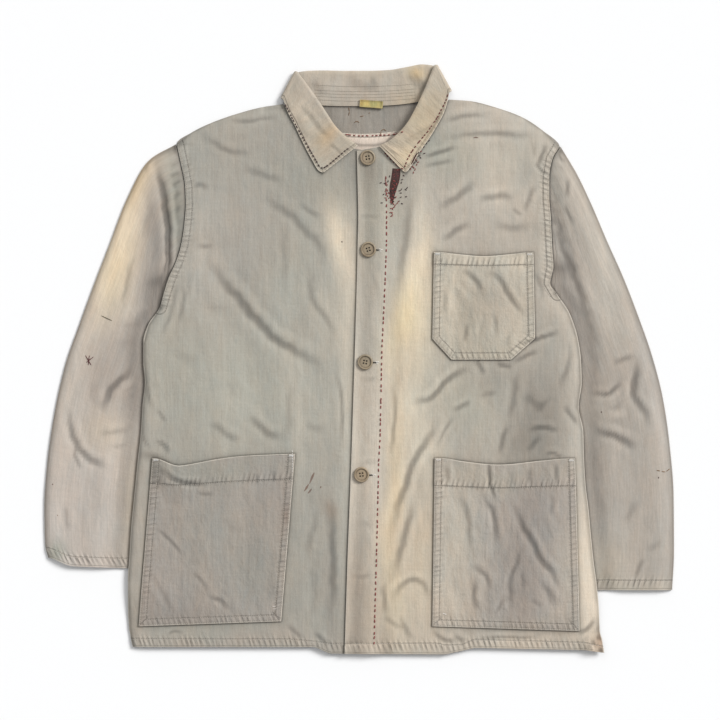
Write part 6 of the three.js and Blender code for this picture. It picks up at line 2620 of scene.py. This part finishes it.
class Stitching:
    """All the sewing: machine rows, hand rows, the mend and the loose threads."""

    FACING_ROW: Line = (
        (34.8, 241), (35.8, 196), (35.8, 153), (32.9, 79), (29.9, 18), (27.3, -103), (25.6, -129), (23, -246),
        (19.5, -370),
    )
    RIGHT_LEAF_ROW: Line = (
        (-99, 337), (-91, 324), (-84, 309), (-76, 295), (-66, 277), (-58, 263.5), (-51.5, 252), (-47, 249),
        (-39, 254), (-29.5, 262), (-18, 272), (-13, 275.5),
    )
    LEFT_LEAF_ROW: Line = (
        (115.4, 345.5), (114.4, 341), (111, 333.3), (107, 325.7), (101.4, 315), (95.6, 306.2), (89, 296.7),
        (81.4, 287.8), (74.5, 279.5), (68, 270.1), (62.7, 260.7), (59.3, 251), (56.4, 248.6), (53, 250),
        (46.8, 255.4), (39.5, 262), (34, 268.5),
    )
    PATCH_ROW: Line = ((-20, 293.8), (1, 291.6), (19, 292), (38, 293), (48, 294.2), (57, 296.1))
    MEND: Triples = (
        (48.6, 249, 5.2), (48, 241, 5.6), (46.6, 233, 5.6), (44.6, 225, 5), (43.3, 217, 3.9), (42.8, 210, 2.4),
        (43.6, 204, 0.7),
    )
    TEAR: Triples = ((75.5, 269, 0.5), (72.4, 263.5, 1), (69.8, 258, 1), (67.4, 254, 0.4))
    DARK_SPOTS: Triples = (
        (55.9, 234.7, 20), (55, 230.8, 70), (55, 222, 60), (52.8, 220.3, 10), (60.8, 221.7, -30), (62.4, 223.9, 50),
        (54.3, 217.4, 0), (54.3, 211.9, 30), (61.1, 212.6, 5), (51.6, 206.4, 45), (55.9, 203.5, -20),
        (28.3, 230.4, 15), (33.3, 229.5, -30), (32, 215.4, 40), (29.5, 204.4, 0), (37.7, 232.4, 70),
        (39.8, 238.9, 85), (58, 240, -40), (90.7, 285, 25), (87.5, 281.7, 50), (84.2, 276.9, 60), (84.8, 268.7, 15),
        (78.3, 265.5, 20), (79.8, 263.2, -40), (77.1, 269.4, 60), (74.6, 258.6, 50), (71.8, 256.2, 35),
    )
    RED_SPOTS: Triples = (
        (34.3, 233.6, 80), (34.6, 228.2, 88), (36.4, 227.4, 80), (34.3, 219.7, 60), (35.9, 217.4, -40),
        (36.9, 220.6, 85), (34.3, 210.9, 0), (37, 213.2, 70), (38.7, 217.4, -60), (39.3, 210.9, 45),
        (41.3, 206.1, 30), (47.8, 211.9, 70), (49.4, 203.7, 40), (51.1, 206.1, 50), (44.6, 203.2, -50),
        (46.8, 201.1, 60), (45.4, 198.8, 20), (43.6, 196.7, 75), (41.6, 197.2, 10), (42.9, 191.4, 85),
        (40.9, 191.9, 5), (42, 187.2, 5), (43.2, 188.6, 60), (46.2, 226.6, 80), (43.4, 222.6, 70), (47.4, 218.8, 60),
        (44, 214.6, 85), (46, 232.6, 10), (48.4, 228.8, 88), (44.6, 208.8, 60), (75, 254.2, 75), (73.8, 260.7, -60),
        (69.5, 251.6, -30), (66.8, 248.8, 70), (72.8, 247.7, 60), (70.6, 243.8, 80), (71.2, 250.2, -50),
        (76.8, 257.4, 20), (80.4, 271.2, 40),
    )
    STAINS: tuple[Triples, ...] = (
        ((-58, -145.5, 0.5), (-60.6, -151, 1.4), (-63, -157, 0.8), (-64.4, -160, 0.3)),
        ((-65.4, -160.6, 0.5), (-68, -165, 1.3), (-71, -169.6, 0.4)),
        ((-61.4, -166.4, 0.5), (-63.8, -169.6, 1.1), (-66.4, -172.6, 0.4)),
        ((-49.4, -163.2, 0.7), (-49.9, -165.6, 0.8)),
        ((-22.6, 154.9, 0.9), (-21.6, 153.2, 0.9)),
        ((-398.2, -160.2, 0.8), (-397.2, -161.6, 0.7)),
        ((-391.6, -200.2, 0.5), (-391, -201.4, 0.5)),
        ((148.4, 288.8, 0.4), (151.6, 289.4, 1), (155, 288.8, 0.3)),
    )
    HOLES: tuple[tuple[float, float], ...] = ((388.7, -152.1), (314.6, -67))

    def __init__(self, sewing: Sewing, finishes: Finishes) -> None:
        """Take the sewing kit and the finishes."""
        self.sewing = sewing
        self.finishes = finishes

    def build(self) -> None:
        """Sew everything."""
        self.machine_rows()
        self.pocket_rows()
        self.hand_rows()
        self.mend()
        self.marks()
        self.buttonholes()
        log.info("%d stitches", self.sewing.total)

    def machine_rows(self) -> None:
        """Sew the hem, the cuffs, the armholes and the rows on the collar's stand."""
        row = self.sewing.row
        rows = []
        for start, end in ((-292, -20), (-10, 312)):
            x = np.linspace(start, end, 150)
            rows.append(row(np.stack([x, line_at(HEM, x) + line_at(HEM_BAND, x)], -1), 3.2, 2.5))
        for half in HALVES.values():
            section = np.asarray(half.sleeve[-1], float)
            share = np.linspace(0.06, 0.98, 60)
            body = abs(float(line_at(half.edge, section[1] + 20, down=True)))
            x = mix(section[0], section[2], share)
            y = mix(section[1], section[3], share) - section[5] * smooth(share / 0.22) * (1 - share) * 1.1 + 12.5
            shown = np.abs(x) > body + 2
            rows.append(row(np.stack([x, y], -1)[shown], 3.0, 2.4))
            line = curve(half.armhole, np.linspace(0, len(half.armhole) - 1, 80))
            rows += [row(inset_line(line, -half.side.value * distance), 3.0, 2.3) for distance in (2.0, 8.5)]
        self.sewing.sew("machine_stitches", np.concatenate(rows), 0.5, Thread.PALE)
        rows = []
        for up in (6, 10.5, 14.5, 18.5, 25):
            x = np.linspace(-58, 74, 60)
            rows.append(row(np.stack([x, 330.8 + up + (x / 70) ** 2 * 3.2], -1), 2.4, 2.1))
        self.sewing.sew("stand_stitches", np.concatenate(rows), 0.4, Thread.GREY, "collar_twill")

    def pocket_rows(self) -> None:
        """Sew every pocket's sides twice, its mouth band once, and its bar tacks."""
        rows, tacks = [], []
        for lines in POCKETS:
            for distance in (1.8, 8.6):
                rows.append(self.sewing.row(inset_line(lines.sewn, distance), 3.0, 2.3))
            x = np.linspace(lines.outline[0][0] + 4, lines.outline[0][2] - 4, 80)
            x = np.clip(x, lines.outline[0][0] - 4, lines.outline[0][2])
            rows.append(self.sewing.row(np.stack([x, lines.mouth_y(x, 0.3) - lines.band], -1), 3.0, 2.3))
            for corner, way in ((lines.outline[0][:2], 1), (lines.outline[0][2:], -1)):
                for step in range(7):
                    tacks.append((corner[0] + way * (2.2 + step * 0.9), corner[1] - 2.4, 0.0, 1.0, 2.6))
        tacks += [(-111.4 + 0.9 * k, -319 - 3.2 * (k % 2), 1.0, 0.1 * k, 2.4) for k in range(4)]
        tacks += [(-86.5, -118 - 3.2 * k, 0.05, 1.0, 2.8) for k in range(9)]
        tacks += [(109.6 + 1.4 * k, -328.2 - 0.5 * k, 1.0, 0.2, 2.6) for k in range(3)]
        self.sewing.sew("pocket_stitches", np.concatenate(rows), 0.5, Thread.PALE)
        self.sewing.sew("bar_tacks", np.array(tacks), 0.6, Thread.WHITE)

    def hand_rows(self) -> None:
        """Sew the uneven hand rows on the facing, the collar's leaves and the neck patch."""
        row = self.sewing.row
        self.sewing.sew("facing_hand_row", row(self.FACING_ROW, 7.3, 4.4, 0.8), 1.5, Thread.RED)
        right, left = row(self.RIGHT_LEAF_ROW, 4.7, 3.2, 0.7), row(self.LEFT_LEAF_ROW, 4.9, 3.2, 0.9)
        self.sewing.sew("right_leaf_hand_row", right, 1.6, Thread.DARK, "collar_twill")
        self.sewing.sew("left_leaf_hand_row", left, 1.5, Thread.CLARET, "collar_twill")
        self.sewing.sew("patch_hand_row", row(self.PATCH_ROW, 5.6, 3.4, 0.9), 1.5, Thread.RED, "cream_cotton")

    def mend(self) -> None:
        """Darn the tear beside the left leaf with dark cloth and scattered stitches."""
        patch = self.sewing.strip("mend_cloth", self.MEND, 0.3, self.finishes.cloths[Cloth.MEND])
        self.sewing.strip("tear_shade", self.TEAR, 0.15, self.finishes.cloths[Cloth.MEND])
        for name, spots, thread in (("dark", self.DARK_SPOTS, Thread.DARK), ("red", self.RED_SPOTS, Thread.RED)):
            table = np.array([(x, y, math.cos(math.radians(a)), math.sin(math.radians(a)), 3.1) for x, y, a in spots])
            self.sewing.sew(f"mend_{name}_stitches", table, 1.15, thread)
        rng = np.random.default_rng(11)
        darns: dict[Thread, list[tuple[float, float, float, float, float]]] = {Thread.RED: [], Thread.BLACK: []}
        for x, y, half in self.MEND[:-1]:
            for k in range(11):
                at_x, at_y, angle = x + rng.uniform(-0.9, 0.9) * half, y - rng.uniform(0, 8), rng.uniform(0.5, 2.4)
                thread = Thread.RED if k % 2 else Thread.BLACK
                darns[thread].append((at_x, at_y, math.cos(angle), math.sin(angle), rng.uniform(1.8, 2.8)))
        for thread, table in darns.items():
            self.sewing.sew(f"darning_{thread.name.lower()}", np.array(table), 0.8, thread)

    def marks(self) -> None:
        """Add the stains, the pinholes as dark strips of painted shade, the stitched cross and the loose threads."""
        for number, strip in enumerate(self.STAINS, start=1):
            self.sewing.strip(f"stain_{number}", strip, 0.06, self.finishes.cloths[Cloth.STAIN])
        # Each pinhole is a dark strip of the mending cloth, painted shade in the hole.
        for number, (x, y) in enumerate(self.HOLES, start=1):
            ends = ((x, y + 0.9, 0.7), (x, y - 0.9, 0.7))
            self.sewing.strip(f"pinhole_{number}", ends, 0.06, self.finishes.cloths[Cloth.MEND])
        cross = (((-354.4, -3), (-344.1, 5.1)), ((-355.3, 7.3), (-347.1, -6.8)), ((-349.7, 7.3), (-351.5, -6.8)))
        self.sewing.sew("sleeve_cross", self.between(cross), 0.9, Thread.MAROON)
        self.sewing.sew("sleeve_thread", self.between((((-335, 58.5), (-319.8, 51.4)),)), 0.9, Thread.OLIVE)
        loose = (
            ((-13.5, 329), (-12.4, 323.5)), ((-12.4, 323.5), (-13.6, 318)), ((1, 316.8), (6.4, 318)),
            ((12.6, 321), (14.4, 322.2)), ((-6.1, 308.6), (-3.4, 311.2)), ((-3.4, 311.2), (0.6, 309.2)),
            ((28.2, 291.4), (28.4, 297.8)), ((28.4, 297.8), (32, 300.9)), ((32, 300.9), (35.4, 298.2)),
            ((386, -142.3), (391, -143.4)), ((392.6, -144), (397.8, -144.6)), ((398.6, -144), (403.6, -140.6)),
        )
        self.sewing.sew("loose_threads", self.between(loose), 0.8, Thread.BROWN)

    @staticmethod
    def between(pairs: Sequence[tuple[tuple[float, float], tuple[float, float]]]) -> Array:
        """Turn pairs of ends into stitches.

        Args:
            pairs: two ends for each stitch.

        Returns:
            Rows as row() gives them.
        """
        ends = np.array(pairs)
        step = ends[:, 1] - ends[:, 0]
        length = np.linalg.norm(step, axis=1, keepdims=True)
        return np.concatenate([ends.mean(axis=1), step / length, length], axis=1)

    def buttonholes(self) -> None:
        """Show the end of each buttonhole beside its button, its opening as a black strip of painted shade, with its
        pale frayed threads.
        """
        slits, threads = [], []
        for number, y in enumerate(BUTTON_YS[1:]):
            x = float(line_at(PLACKET, y, down=True)) + BUTTON_INSET
            slits.append((x + 12.4, y - 0.6, 1.0, -0.08, 5.4))
            for k in range(5):
                turn = 0.5 * math.sin(2.1 * k + number)
                at_y = y - 0.6 + 1.3 * math.sin(k * 2.3)
                threads.append((x + 13.4 + 1.0 * k, at_y, math.cos(turn), math.sin(turn), 3.4))
        self.sewing.sew("buttonhole_slits", np.array(slits), 1.4, Thread.BLACK)
        self.sewing.sew("buttonhole_threads", np.array(threads), 0.6, Thread.WHITE)


def main() -> None:
    """Load the frame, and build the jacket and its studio."""
    logging.basicConfig(level=logging.INFO, format="%(message)s")
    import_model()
    low, high = (np.array(corner) * 1000 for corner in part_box("button_2"))
    middle = (low + high) / 2
    plan_x = float(line_at(PLACKET, BUTTON_YS[1], down=True)) + BUTTON_INSET
    shop = Workshop(origin=(float(middle[0]) - plan_x, float(middle[1]) - BUTTON_YS[1]))
    log.info("plan origin at %.3f, %.3f mm", *shop.origin)
    studio = Studio()
    studio.camera(shop)
    studio.floor()
    studio.light()
    Jacket(shop, Finishes()).build()


if __name__ == "__main__":
    main()
